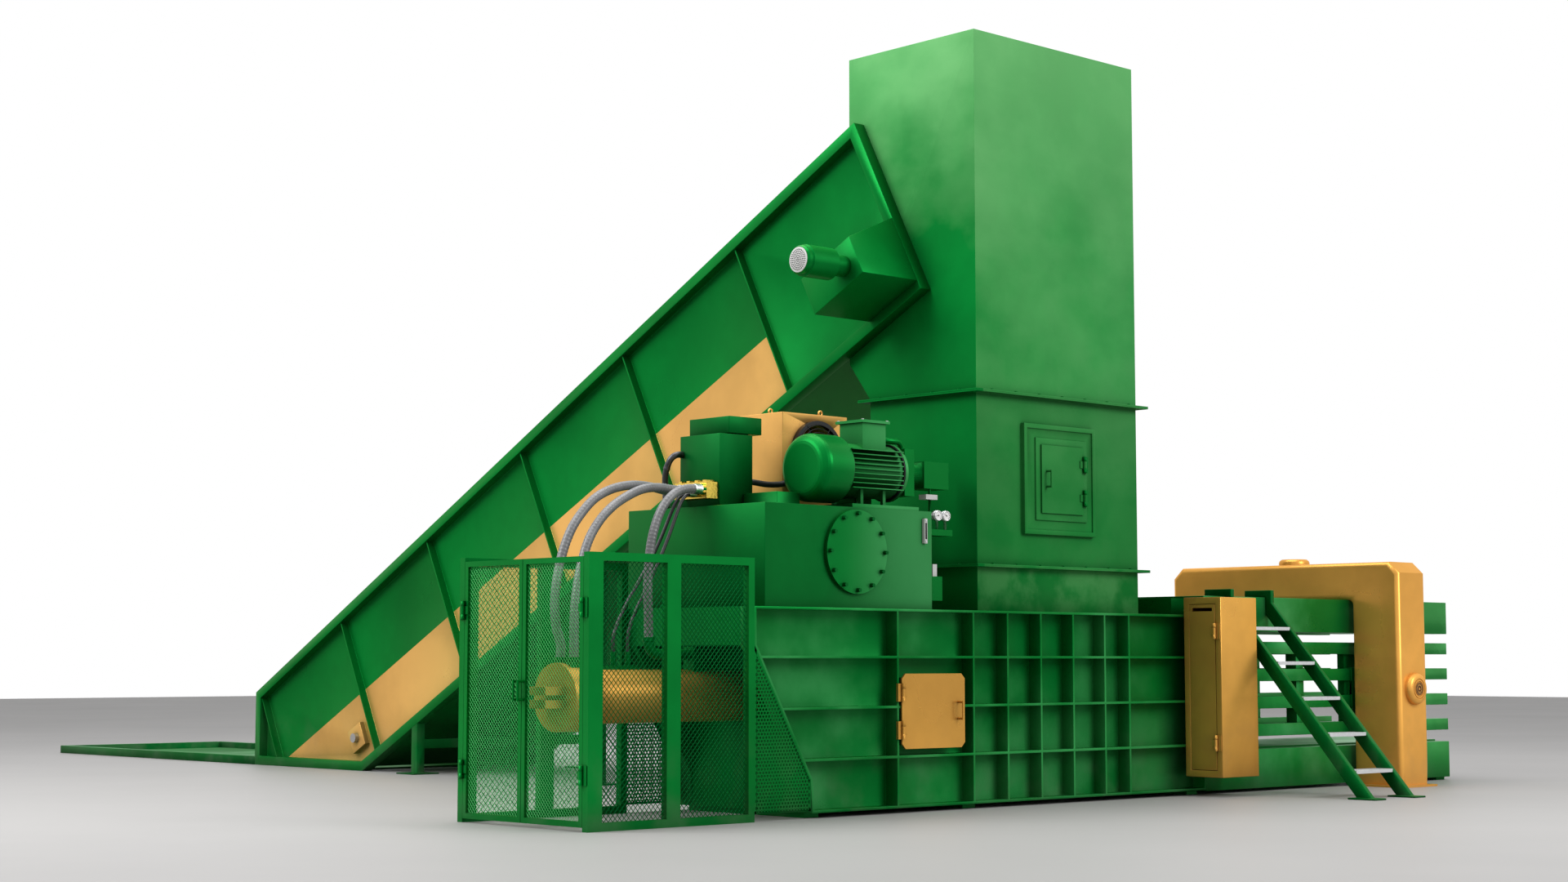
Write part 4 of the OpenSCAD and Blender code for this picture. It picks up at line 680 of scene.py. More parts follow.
class Growers:
    """The machine's geometry node trees, made once on first use."""

    @cached_property
    def strands(self) -> Tree:
        """Bars of a flat section along the edges of a seed mesh."""
        tree = Tree("strands", {"Width": 0.004, "Depth": 0.0025, "Tilt": 0.0})
        feeds = {"Width": tree.inlet["Width"], "Height": tree.inlet["Depth"]}
        return tree.sweep(tree.add("GeometryNodeCurvePrimitiveQuadrilateral", feeds), True)

    @cached_property
    def wires(self) -> Tree:
        """Round wires along the edges of a seed mesh."""
        tree = Tree("wires", {"Radius": 0.003})
        feeds = {"Resolution": 8, "Radius": tree.inlet["Radius"]}
        return tree.sweep(tree.add("GeometryNodeCurvePrimitiveCircle", feeds))

    @cached_property
    def studs(self) -> Tree:
        """Short cylinders on the points of a seed mesh, standing the way each point faces."""
        tree = Tree("studs", {"Radius": 0.01, "Height": 0.006, "Sides": 6.0})
        stud = tree.add("GeometryNodeMeshCylinder", {
            "Radius": tree.inlet["Radius"], "Depth": tree.inlet["Height"], "Vertices": tree.inlet["Sides"]})
        facing = tree.add("GeometryNodeInputNamedAttribute", {"Name": "facing"}, data_type="FLOAT_VECTOR")
        turn = tree.add("FunctionNodeAlignRotationToVector", {"Vector": facing.outputs[0]}, axis="Z")
        spots = tree.add("GeometryNodeMeshToPoints", {"Mesh": tree.inlet["Geometry"]})
        stand = tree.add("GeometryNodeInstanceOnPoints", {
            "Points": spots.outputs[0], "Instance": stud.outputs["Mesh"], "Rotation": turn.outputs[0]})
        return tree.close(stand.outputs[0])


GROW = Growers()


def edge_seed(name: str, paths: Iterable[Sequence[Vector]], closed: bool = False) -> Mesh:
    """Make a mesh of edges for the wire trees.

    Args:
        name: Name of the mesh.
        paths: Lines of points.
        closed: True if each line ends where it starts.

    Returns:
        The mesh.
    """
    corners: list[Vector] = []
    edges: list[tuple[int, int]] = []
    for path in paths:
        base = len(corners)
        corners.extend(path)
        edges.extend((base + i, base + i + 1) for i in range(len(path) - 1))
        if closed:
            edges.append((base + len(path) - 1, base))
    mesh = bpy.data.meshes.new(name)
    mesh.from_pydata([tuple(c) for c in corners], edges, [])
    return mesh


def studs(name: str, points: Sequence[Vector], facing: Point, finish: Finish, radius: float,
          height: float, sides: float = 6.0) -> None:
    """Stand a stud on each of some points.

    Args:
        name: Name of the piece.
        points: Middles of the studs.
        facing: Direction that the studs stand in.
        finish: Finish of the studs.
        radius: Radius of a stud.
        height: Height of a stud.
        sides: Faces round a stud.
    """
    mesh = bpy.data.meshes.new(name)
    mesh.from_pydata([tuple(p) for p in points], [], [])
    layer = mesh.attributes.new("facing", "FLOAT_VECTOR", "POINT")
    layer.data.foreach_set("vector", [float(c) for _ in points for c in facing])
    GROW.studs.run(name, mesh, finish, Radius=radius, Height=height, Sides=sides)


def body_of(node: str) -> str:
    """Return the body that carries a solid."""
    bodies = frame["record"]["behaviour"]["bodies"]
    return next(body for body, nodes in bodies.items() if node in nodes)


def copied(node: str, finishes: Sequence[Finish]) -> tuple[Mesh, bmesh.types.BMesh]:
    """Copy a solid's mesh and weld its corners.

    Args:
        node: Name of the solid.
        finishes: Finishes of the copy.

    Returns:
        The copy and its welded shape, still to be written back.
    """
    mesh = frame["nodes"][node].data.copy()
    mesh.materials.clear()
    for finish in finishes:
        mesh.materials.append(finish.material)
    shape = bmesh.new()
    shape.from_mesh(mesh)
    bmesh.ops.remove_doubles(shape, verts=shape.verts, dist=WELD)
    return mesh, shape


def eased(node: str, finish: Finish, width: float = 0.004, longer: float = 0.03, above: float = -1.0,
          bend: float = 30.0) -> Piece:
    """Replace a solid by a copy with eased edges.

    Args:
        node: Name of the solid.
        finish: Finish of the copy.
        width: Width of the rounding in metres.
        longer: Round only edges longer than this.
        above: Round only edges whose middle is higher than this.
        bend: Round only edges that turn by more degrees than this.

    Returns:
        The copy.
    """
    flat, fine, fine_steps, broad_steps = math.radians(0.6), 0.02, 2, 6
    mesh, shape = copied(node, (finish,))
    bmesh.ops.dissolve_limit(shape, angle_limit=flat, verts=shape.verts, edges=shape.edges,
                             delimit={"NORMAL"})
    weight = shape.edges.layers.float.new("bevel_weight_edge")
    for edge in shape.edges:
        high = (edge.verts[0].co.z + edge.verts[1].co.z) / 2 > above
        bent = edge.is_manifold and edge.calc_face_angle(0) > math.radians(bend)
        if high and bent and edge.calc_length() >= longer:
            edge[weight] = 1.0
    for face in shape.faces:
        face.material_index = 0
    shape.to_mesh(mesh)
    shape.free()
    piece = placed(f"{node}_eased", mesh)
    tool = piece.modifiers.new("round", "BEVEL")
    tool.width = width
    tool.segments = fine_steps if width < fine else broad_steps
    tool.limit_method = "WEIGHT"
    tool.harden_normals = False
    apply_modifiers(piece)
    settle(piece, body_of(node), 30.0)
    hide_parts(node)
    return piece


def parted(node: str, finishes: Sequence[Finish], choose: Callable[[Vector], int]) -> None:
    """Replace a solid by a copy whose faces take their finish from their place.

    Args:
        node: Name of the solid.
        finishes: Finishes to choose from.
        choose: Gives a finish's number for the middle of a face.
    """
    mesh, shape = copied(node, finishes)
    for face in shape.faces:
        face.material_index = choose(face.calc_center_median())
    shape.to_mesh(mesh)
    shape.free()
    piece = settle(placed(f"{node}_painted", mesh), body_of(node), 30.0)
    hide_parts(node)


def free_bores(piece: Piece, axes: Iterable[Pair], bore: float, gap: float) -> None:
    """Open the bores round cross shafts so that the shafts turn clear of them.

    Args:
        piece: Copy of the solid with the bores.
        axes: Places of the shafts in the YZ plane.
        bore: Radius of the bores.
        gap: Clearance to add.
    """
    play = 0.0008
    for y, z in axes:
        for corner in piece.data.vertices:
            away = Vector((0.0, corner.co.y - y, corner.co.z - z))
            if abs(away.length - bore) < play:
                corner.co += away.normalized() * gap


@dataclass
class Studio:
    """Camera, lamps, floor and background."""

    eye: Point = (-14.658, -14.174, 1.2005)
    pitch: float = 95.154
    heading: float = -43.026
    lens: float = 55.65
    sensor: float = 36.0
    sight: float = 500.0
    floor_near: float = -95.0
    floor_far: float = 57.0
    floor_tones: tuple[Colour, Colour] = ((0.285, 0.278, 0.275), (0.315, 0.307, 0.303))
    ambient: float = 0.42
    lamps: tuple[tuple[str, Point, Point, float, float], ...] = (
        ("key", (6.0, -18.0, 12.0), (1.0, 0.0, 3.0), 9.0, 2450.0),
        ("side", (-14.0, 6.0, 14.0), (0.0, 1.0, 3.5), 11.0, 3200.0),
        ("top", (0.0, 2.0, 17.0), (0.0, 2.0, 0.0), 14.0, 2400.0),
    )

    def camera(self) -> None:
        """Set the camera at the photograph's viewpoint."""
        data = bpy.data.cameras.new("view")
        data.lens = self.lens
        data.sensor_width = self.sensor
        data.clip_end = self.sight
        eye = placed("view", data)
        eye.location = self.eye
        eye.rotation_euler = (math.radians(self.pitch), 0.0, math.radians(self.heading))
        bpy.context.scene.camera = eye

    def lamp(self, name: str, place: Point, target: Point, size: float, power: float) -> None:
        """Hang a soft box.

        Args:
            name: Name of the lamp.
            place: Where it hangs.
            target: Point it faces.
            size: Side of the box.
            power: Watts.
        """
        data = bpy.data.lights.new(name, "AREA")
        data.shape = "SQUARE"
        data.size = size
        data.energy = power
        lamp = placed(name, data)
        lamp.location = place
        lamp.rotation_euler = (Vector(target) - Vector(place)).to_track_quat("-Z", "Y").to_euler()

    def world(self) -> None:
        """Show a white background and give a soft ambient light."""
        world = bpy.data.worlds.new("studio")
        world.use_nodes = True
        bpy.context.scene.world = world
        nodes = Nodes(world.node_tree)
        path = nodes.add("ShaderNodeLightPath")
        level: object = self.ambient
        for kind in ("Is Camera Ray", "Is Glossy Ray", "Is Transmission Ray"):
            feeds = {0: level, 1: path.outputs[kind]}
            level = nodes.add("ShaderNodeMath", feeds, operation="MAXIMUM").outputs[0]
        sky = nodes.add("ShaderNodeBackground", {"Color": (1.0, 1.0, 1.0, 1.0), "Strength": level})
        nodes.add("ShaderNodeOutputWorld", {0: sky.outputs[0]})

    def floor(self) -> None:
        """Lay a pale, slightly glossy floor."""
        web = Web("pale_floor")
        web.coat({"Base Color": web.blend(web.spread(web.noise(0.12, 4.0), 0.3, 0.7), *self.floor_tones),
                  "Roughness": web.spread(web.noise(0.6, 6.0), 0.3, 0.7, 0.53, 0.56)})
        mesh = bpy.data.meshes.new("floor")
        near, far = self.floor_near, self.floor_far
        mesh.from_pydata([(near, near, 0), (far, near, 0), (far, far, 0), (near, far, 0)], [], [(0, 1, 2, 3)])
        mesh.materials.append(web.material)
        placed("floor", mesh)

    def build(self) -> None:
        """Set the whole studio."""
        self.camera()
        self.world()
        self.floor()
        for lamp in self.lamps:
            self.lamp(*lamp)
        bpy.context.scene.view_settings.view_transform = "Standard"


class HoseKind(Enum):
    """Kinds of hose: diameter, rib pitch and rib height, in metres."""

    MAIN = (0.072, 0.030, 0.0020)
    PILOT = (0.028, 0.014, 0.0006)
    SMALL = (0.050, 0.022, 0.0012)


@dataclass
class Hose:
    """One hose along the route of its solid."""

    node: str
    kind: HoseKind
    route: Sequence[Point]
    dark: bool = False
    elbows: Pair = (0.0, 0.0)
    step: float = 0.0065
    lap: int = 4
    collar: Pair = (0.02, 0.003)
    elbow_skin: float = 0.0004

    def line(self) -> list[Vector]:
        """Smooth the route.

        Returns:
            Close points on a curve through the route.
        """
        knots = [at(x / 1000, y / 1000, z / 1000) for x, y, z in self.route]
        ends = [2 * knots[0] - knots[1], *knots, 2 * knots[-1] - knots[-2]]
        points: list[Vector] = []
        for i in range(1, len(ends) - 2):
            a, b, c, d = ends[i - 1:i + 3]
            count = max(2, round((c - b).length / self.step))
            for k in range(count):
                t = k / count
                points.append(0.5 * (2 * b + (c - a) * t + (2 * a - 5 * b + 4 * c - d) * t * t
                                     + (3 * b - a - 3 * c + d) * t ** 3))
        points.append(knots[-1])
        return points

    def elbow(self, name: str, path: Sequence[Vector]) -> None:
        """Sweep an elbow fitting with a collar at each end.

        Args:
            name: Name of the piece.
            path: Centreline of the bend.
        """
        long, proud = self.collar
        rings = max(3, round(long / self.step))
        last = len(path) - 1
        extra = (proud if min(i, last - i) < rings else self.elbow_skin for i in range(len(path)))
        sketch = Sketch(name)
        sketch.tube(path, [self.kind.value[0] / 2 + more for more in extra], 24)
        sketch.finish(Finish.FITTING, 40.0)

    def build(self) -> None:
        """Sweep the ribbed hose and the elbows that take its tight bends."""
        diameter, pitch, rib = self.kind.value
        stem = self.node.removeprefix("hose_")
        path = self.line()
        first, last = (round(length / self.step) for length in self.elbows)
        if first:
            self.elbow(f"{stem}_elbow_start", path[:first + self.lap])
        if last:
            self.elbow(f"{stem}_elbow_end", path[len(path) - last - self.lap:])
        path = path[first:len(path) - last]
        radii: list[float] = []
        run = 0.0
        for i, point in enumerate(path):
            run += (point - path[i - 1]).length if i else 0.0
            radii.append(diameter / 2 - rib * (0.5 - 0.5 * math.cos(2 * math.pi * run / pitch)))
        sketch = Sketch(f"{stem}_hose")
        sketch.tube(path, radii, 18)
        piece = sketch.finish(Finish.DARK_HOSE if self.dark else Finish.HOSE, 60.0)
        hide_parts(self.node)
        LOG.info("%s is %.2f m long", self.node, run)


HOSES: tuple[Hose, ...] = (
    Hose("hose_rear_a", HoseKind.MAIN, (
        (140, 290, 2520), (10, 290, 2520), (-150, 280, 2540), (-350, 255, 2540), (-560, 225, 2500),
        (-750, 195, 2420), (-900, 170, 2300), (-1020, 150, 2160), (-1110, 135, 1980), (-1170, 120, 1780),
        (-1195, 108, 1600), (-1190, 95, 1440), (-1160, 80, 1320), (-1160, 80, 1220))),
    Hose("hose_rear_b", HoseKind.MAIN, (
        (140, 190, 2520), (10, 190, 2520), (-140, 180, 2528), (-310, 155, 2508), (-480, 125, 2450),
        (-660, 90, 2360), (-820, 55, 2240), (-950, 20, 2090), (-1040, -10, 1910), (-1100, -35, 1730),
        (-1140, -58, 1550), (-1155, -73, 1420), (-1160, -80, 1310), (-1160, -80, 1220))),
    Hose("hose_front", HoseKind.MAIN, (
        (140, 10, 2520), (40, 10, 2520), (-70, 5, 2500), (-170, -2, 2445), (-255, -8, 2360), (-325, -14, 2240),
        (-375, -18, 2090), (-400, -20, 1930), (-410, -20, 1760), (-405, -20, 1600), (-400, -20, 1480),
        (-400, -20, 1370))),
    Hose("hose_pilot_a", HoseKind.PILOT, (
        (140, 60, 2480), (80, 60, 2480), (25, 60, 2458), (-20, 60, 2400), (-65, 62, 2300), (-125, 65, 2160),
        (-205, 68, 1995), (-300, 72, 1820), (-400, 76, 1650), (-485, 78, 1490), (-520, 80, 1370),
        (-520, 80, 1260)), True),
    Hose("hose_pilot_b", HoseKind.PILOT, (
        (140, 120, 2480), (80, 120, 2480), (25, 121, 2458), (-20, 124, 2400), (-70, 130, 2300),
        (-135, 138, 2160), (-225, 145, 1995), (-340, 150, 1820), (-460, 150, 1650), (-560, 145, 1490),
        (-620, 130, 1370), (-620, 130, 1260)), True),
    Hose("hose_tank", HoseKind.SMALL, (
        (290, 400, 2820), (255, 400, 2820), (215, 408, 2808), (190, 430, 2775), (184, 460, 2720),
        (190, 490, 2650), (205, 508, 2570), (215, 515, 2500), (215, 515, 2430)), True, (0.19, 0.0)),
    Hose("hose_cooler", HoseKind.SMALL, (
        (635, 0, 2600), (700, 0, 2600), (820, -6, 2590), (940, -8, 2594), (1045, -2, 2612), (1110, 22, 2626),
        (1139, 62, 2630), (1140, 99.3, 2630)), True, (0.0, 0.15)),
)


@dataclass(frozen=True)
class Weave:
    """One kind of diamond mesh: its paint, the width of a strand, and a diamond's width and height."""

    finish: Finish
    strand: float
    cell: Pair


@dataclass
class GuardCage:
    """Diamond mesh in the cage's bays and doors, and the perforated sheets under the slant."""

    length: float = 1.575
    half: float = 0.775
    height: float = 1.959
    post: float = 0.060
    stile: float = 0.130
    middle: Pair = (-0.8525, -0.7225)
    leaf: float = 0.040
    foot: float = 0.030
    seam: float = 0.003
    bay_weave: Weave = Weave(Finish.BAY_MESH, 0.0050, (0.0412, 0.0454))
    # The doors take the lighter mesh green, a painted highlight.
    door_weave: Weave = Weave(Finish.DOOR_MESH, 0.0070, (0.0315, 0.0340))
    thick: float = 0.0020
    tilt: float = math.radians(35)
    shortest: float = 0.006
    heel: float = 1.308
    toe: Pair = (0.575, 0.293)
    sill: float = 0.060
    pitch: float = 0.030
    hole: float = 0.0105
    sheet: float = 0.0035
    rim: float = 0.020

    def diagonals(self, width: float, height: float, cell: Pair) -> list[list[list[Pair]]]:
        """Lay both families of diagonals over a panel.

        Args:
            width: Width of the panel.
            height: Height of the panel.
            cell: Width and height of a diamond.

        Returns:
            Two families of clipped lines, each line by its two ends.
        """
        step, rise = cell
        slope = rise / step
        close = 1e-9
        count = int((width + height / slope) / step) + 2
        families: list[list[list[Pair]]] = []
        for lean in (1, -1):
            lines: list[list[Pair]] = []
            for i in range(-count, count):
                start = i * step
                ends: list[Pair] = []
                for z in (0.0, height):
                    x = start + lean * z / slope
                    if x < 0:
                        x, z = 0.0, -start * lean * slope
                    elif x > width:
                        x, z = width, (width - start) * lean * slope
                    ends.append((x, z))
                low, high = sorted(z for _, z in ends)
                if low >= -close and high <= height + close and high - low > self.shortest:
                    lines.append(ends)
            families.append(lines)
        return families

    def panel(self, name: str, origin: Vector, along: Vector, width: float, height: float, weave: Weave,
              body: str = BASE) -> Piece:
        """Weave one panel.

        Args:
            name: Name of the piece.
            origin: Lower corner of the panel.
            along: Direction of the panel's width.
            width: Width of the panel.
            height: Height of the panel.
            weave: Kind of mesh.
            body: Body that carries it.

        Returns:
            The woven panel.
        """
        out = along.cross(Vector((0, 0, 1)))
        paths: list[list[Vector]] = []
        for side, lines in zip((-0.5, 0.5), self.diagonals(width, height, weave.cell)):
            lift = out * side * self.thick
            paths += [[origin + along * x + Vector((0, 0, z)) + lift for x, z in ends] for ends in lines]
        return GROW.strands.run(name, edge_seed(name, paths), weave.finish, body, Width=weave.strand,
                                Depth=self.thick, Tilt=self.tilt)

    def bays(self, hand: Hand) -> list[Piece]:
        """Weave and return the two bays of one side."""
        y = hand.value * (self.half - self.post / 2 - self.seam)
        spans = ((-self.length + self.stile, self.middle[0]), (self.middle[1], -self.post))
        return [self.panel(f"bay_mesh_{hand.word}_{i}", at(x0, y, self.post), Vector((1, 0, 0)), x1 - x0,
                           self.height - 2 * self.post, self.bay_weave) for i, (x0, x1) in enumerate(spans)]

    def door(self, hand: Hand) -> None:
        """Weave the mesh of the door leaf on one side."""
        node = f"cage_door_{hand.word}_mesh"
        inner = self.seam + self.leaf
        outer = self.half - self.post - self.seam - self.leaf
        lift = self.foot + self.leaf
        origin = at(-self.length + self.leaf / 2 + self.seam, -outer if hand is Hand.NEAR else inner, lift)
        piece = self.panel(f"door_mesh_{hand.word}", origin, Vector((0, 1, 0)), outer - inner,
                           self.height - 2 * lift, self.door_weave, body_of(node))
        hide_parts(node)

    def slant(self, hand: Hand) -> Piece:
        """Punch and return the sheet under the slanted rear edge of the press on one side."""
        first, proud, row_pitch = (0.012, 0.016), 0.0002, self.pitch * 0.866
        y = hand.value * (self.half - proud) - (self.sheet if hand is Hand.FAR else 0.0)
        sketch = Sketch(f"slant_guard_{hand.word}")
        for row in range(int((self.heel - self.sill) / row_pitch)):
            for col in range(int(self.toe[0] / self.pitch) + 1):
                x = (col + 0.5 * (row % 2)) * self.pitch + first[0]
                z = self.sill + first[1] + row * row_pitch
                if self.covers(x, z):
                    self.punch(sketch, x, y, z)
        rim = [(0.0, self.sill), (0.0, self.heel), self.toe, (self.toe[0], self.sill)]
        for (x0, z0), (x1, z1) in zip(rim, rim[1:] + rim[:1]):
            away = Vector((z1 - z0, 0, x0 - x1)).normalized() * self.rim
            quad = [at(x0, y, z0), at(x1, y, z1), at(x1, y, z1) + away, at(x0, y, z0) + away]
            sketch.grow(quad + [c + Vector((0, self.sheet, 0)) for c in quad], PRISM)
        return sketch.finish(Finish.GREEN, 30.0)

    def covers(self, x: float, z: float) -> bool:
        """Tell whether a point lies on the slanted sheet, a margin in from its edges."""
        margin = self.pitch * 0.62
        drop = self.heel - self.toe[1]
        over = ((self.heel - z) * self.toe[0] - x * drop) / math.hypot(drop, self.toe[0])
        return margin < x < self.toe[0] - margin and self.sill + margin * 0.6 < z and over > margin

    def punch(self, sketch: Sketch, x: float, y: float, z: float) -> None:
        """Add one six-sided cell with a hole.

        Args:
            sketch: Piece to add to.
            x: Place along the press.
            y: Near face of the sheet.
            z: Height.
        """
        radii = (self.pitch / math.sqrt(3), self.hole)
        spots = [p for radius in radii for p in circle(6, radius, math.pi / 6)]
        corners = [at(x + dx, depth, z + dz) for depth in (y, y + self.sheet) for dx, dz in spots]
        faces: list[tuple[int, ...]] = []
        for k in range(6):
            n = (k + 1) % 6
            faces += [(k, n, 6 + n, 6 + k), (12 + n, 12 + k, 18 + k, 18 + n), (6 + k, 6 + n, 18 + n, 18 + k)]
        sketch.grow(corners, faces)

    def build(self) -> None:
        """Weave every panel."""
        pieces = [p for hand in Hand for p in self.bays(hand)]
        pieces += [self.slant(hand) for hand in Hand]
        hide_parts("cage_mesh")
        for hand in Hand:
            self.door(hand)


@dataclass
class PowerPack:
    """Dials, level glass, fan guard, motor trim, cover bolts and hose nuts on the tank."""

    tank_end: float = 2.000
    tank_y: float = -0.700
    tank_z: float = 2.390
    fan: Pair = (1.465, 2.870)
    fan_face: float = 0.055
    fan_reach: float = 0.262
    motor: Pair = (-0.450, 2.700)
    motor_flange: Pair = (1.750, 0.214)
    motor_lid: Point = (1.465, 0.138, 3.102)
    dials: Pair = (2.142, 2.238)
    needles: Pair = (190.0, 150.0)
    dial_seat: Pair = (0.062, 0.022)
    tick_reach: Pair = (0.027, 0.034)
    needle_reach: float = 0.029
    cover: Point = (1.125, 2.040, 0.300)
    big_nut: float = 0.048
    small_nut: float = 0.019

    def gauges(self) -> None:
        """Put bezels, cards, ticks and needles on the two dials."""
        bezel = [(0.0345, -0.001), (0.0432, -0.001), (0.0432, 0.004), (0.040, 0.008), (0.0365, 0.008),
                 (0.0345, 0.004)]
        rims, cards, marks = Sketch("dial_rims"), Sketch("dial_cards"), Sketch("dial_marks")
        for x, needle in zip(self.dials, self.needles):
            centre = at(x, self.tank_y + self.dial_seat[0], self.tank_z - self.dial_seat[1])
            rims.turned(centre, Axis.Y_BACK, bezel, 40, True)
            cards.turned(centre, Axis.Y_BACK, [(0.036, 0.0), (0.036, 0.003)], 40)
            for k in range(11):
                self.tick(marks, centre, math.radians(225 - 27 * k), 0.0012 if k % 5 else 0.002)
            angle = math.radians(needle)
            hub = centre + Vector((0, -0.005, 0))
            tip = hub + Vector((math.cos(angle), 0, math.sin(angle))) * self.needle_reach
            marks.tube([hub, tip], [0.0022, 0.0009], 8)
            marks.turned(centre + Vector((0, -0.003, 0)), Axis.Y_BACK, [(0.005, 0), (0.005, 0.004)], 16)
        rims.finish(Finish.CHROME)
        cards.finish(Finish.DIAL)
        marks.finish(Finish.BLACK)

    def tick(self, marks: Sketch, centre: Vector, angle: float, half: float) -> None:
        """Add one tick of a dial.

        Args:
            marks: Piece to add to.
            centre: Middle of the dial.
            angle: Place of the tick in radians.
            half: Half of the tick's width.
        """
        way = Vector((math.cos(angle), 0, math.sin(angle)))
        cross = Vector((-way.z, 0, way.x)) * half
        inner, outer = (centre + way * reach for reach in self.tick_reach)
        lift = Vector((0, -0.0036, 0))
        quad = [inner - cross, outer - cross, outer + cross, inner + cross]
        marks.grow([q + lift for q in quad] + [q + lift * 0.7 for q in quad], PRISM)

    def level(self) -> None:
        """Set a dark glass and two screws in the level gauge."""
        x, y = self.tank_end - 0.094, self.tank_y - 0.026
        glass = Sketch("level_glass")
        glass.box(at(x - 0.008, y - 0.004, self.tank_z - 0.225), at(x + 0.008, y, self.tank_z - 0.095))
        glass.finish(Finish.VOID, bevel=0.002)
        spots = [at(x, y - 0.002, self.tank_z - h) for h in (0.245, 0.075)]
        studs("level_screws", spots, (0, -1, 0), Finish.STEEL, 0.008, 0.006)

    def fan_guard(self) -> None:
        """Weave the wire guard over the cooler's fan."""
        x, z = self.fan
        rings = [[at(x + dx, self.fan_face - 0.004, z + dz) for dx, dz in circle(48, 0.03 * k)]
                 for k in range(1, 9)]
        GROW.wires.run("fan_guard_rings", edge_seed("fan_rings", rings, True), Finish.BLACK, sharp=60.0,
                       Radius=0.0028)
        spokes = [[at(x, self.fan_face, z), at(x + dx, self.fan_face, z + dz)]
                  for dx, dz in circle(6, self.fan_reach)]
        GROW.wires.run("fan_guard_spokes", edge_seed("fan_spokes", spokes), Finish.BLACK, sharp=60.0,
                       Radius=0.0035)

    def motor_trim(self) -> None:
        """Add the flange bolts, the terminal box bolts, the dark seams and the foot web of the pump motor."""
        y, z = self.motor
        flange, reach = self.motor_flange
        bolts = [at(flange, y + dy, z + dz) for dy, dz in circle(8, reach)]
        studs("flange_bolts", bolts, (1, 0, 0), Finish.STEEL, 0.013, 0.02)
        middle, half, top = self.motor_lid
        lid = [at(middle + dx, y + dy, top) for dx in (-half, half) for dy in (-half, half)]
        studs("lid_bolts", lid, (0, 0, 1), Finish.STEEL, 0.011, 0.012)
        seam = Sketch("motor_seal")
        for x, inner, outer, width in ((1.708, 0.212, 0.232, 0.012), (1.110, 0.212, 0.262, 0.010)):
            profile = [(inner, 0), (outer, 0), (outer, width), (inner, width)]
            seam.turned(at(x, y, z), Axis.X, profile, 48, True)
        seam.finish(Finish.BLACK)
        web = Sketch("motor_foot_web")
        web.box(at(1.290, y + 0.142, self.tank_z + 0.029), at(1.705, y + 0.158, self.tank_z + 0.150))
        web.finish(Finish.DEEP_GREEN, bevel=0.003)

    def cover_bolts(self) -> None:
        """Stand the bolts proud of the tank's round cover."""
        x, z, reach = self.cover
        spots = [at(x + dx, self.tank_y - 0.046, z + dz) for dx, dz in circle(12, reach)]
        studs("cover_bolts", spots, (0, -1, 0), Finish.DEEP_GREEN, 0.017, 0.032)

    def nuts(self) -> None:
        """Turn the hose nuts on the valve block and the sleeves behind them."""
        nuts, sleeves = Sketch("hose_nuts"), Sketch("hose_sleeves")
        nut = ((0.9, 0.0), (1, 0.004), (1, 0.026), (0.9, 0.032))
        ribs = ((1, 0), (1, 0.01), (0.94, 0.02), (1, 0.03), (0.94, 0.04), (1, 0.05), (0.92, 0.07))
        places = [(y, 2.52, self.big_nut) for y in (0.29, 0.19, 0.01)]
        places += [(y, 2.48, self.small_nut) for y in (0.06, 0.12)]
        for y, z, r in places:
            nuts.turned(at(0.17, y, z), Axis.X_BACK, [(r * part, along) for part, along in nut], 6)
            wide = r * 0.86
            sleeves.turned(at(0.14, y, z), Axis.X_BACK, [(wide * part, along) for part, along in ribs], 24)
        nuts.finish(Finish.BRASS, 25.0)
        sleeves.finish(Finish.STEEL)

    def build(self) -> None:
        """Dress the power pack."""
        self.gauges()
        self.level()
        self.fan_guard()
        self.motor_trim()
        self.cover_bolts()
        self.nuts()


@dataclass
class ConveyorTrim:
    """Perforated end of the conveyor's drive motor, its holes drawn as dark discs of painted shade."""

    end: Point = (1.33, 0.172, 1.500)
    disc: tuple[Pair, ...] = ((0.106, 0.0), (0.106, 0.004), (0.098, 0.007))
    rings: int = 5
    pitch: float = 0.017

    def spot(self, x: float, u: float, v: float) -> Vector:
        """Turn conveyor coordinates into a point.

        Args:
            x: Place across, from the press's rear corner.
            u: Distance down the slope.
            v: Depth below the panel's upper edge.

        Returns:
            The point in the part's frame.
        """
        cos, sin = math.cos(CONVEYOR_SLOPE), math.sin(CONVEYOR_SLOPE)
        y, z = CONVEYOR_CORNER
        return at(x, y + u * cos - v * sin, z - u * sin - v * cos)

    def build(self) -> None:
        """Add the pale end disc with rings of dark discs, painted shade that stands for its holes."""
        centre = self.spot(*self.end)
        disc = Sketch("drive_end_disc")
        disc.turned(centre + Vector((0.001, 0, 0)), Axis.X_BACK, self.disc, 40)
        disc.finish(Finish.PALE)
        spots: list[Pair] = [(0.0, 0.0)]
        for ring in range(1, self.rings + 1):
            spots += circle(ring * 6, self.pitch * ring)
        holes = [centre + Vector((-0.006, *spot)) for spot in spots]
        # Dark discs on the face, painted shade for the holes.
        studs("drive_end_holes", holes, (-1, 0, 0), Finish.VOID, 0.0055, 0.0026, 10.0)


@dataclass
class PortalTrim:
    """Dark rings on the caps of the squeeze cylinders, painted shade that stands for their grooves."""

    caps: tuple[tuple[Point, Axis], ...] = (
        ((7.965, -1.3952, 0.925), Axis.Y_BACK), ((7.965, 1.3952, 0.925), Axis.Y),
        ((7.965, 0.0, 2.1902), Axis.Z))
    radii: tuple[float, ...] = (0.012, 0.026, 0.040, 0.054)
    groove: float = 0.0065
    depth: Pair = (-0.001, 0.0006)

    def build(self) -> None:
        """Turn the dark rings of each cap, painted shade for the grooves."""
        rings = Sketch("cap_rings")
        low, high = self.depth
        for place, axis in self.caps:
            for inner in self.radii:
                outer = inner + self.groove
                profile = [(inner, low), (outer, low), (outer, high), (inner, high)]
                rings.turned(at(*place), axis, profile, 40, True)
        rings.finish(Finish.VOID)


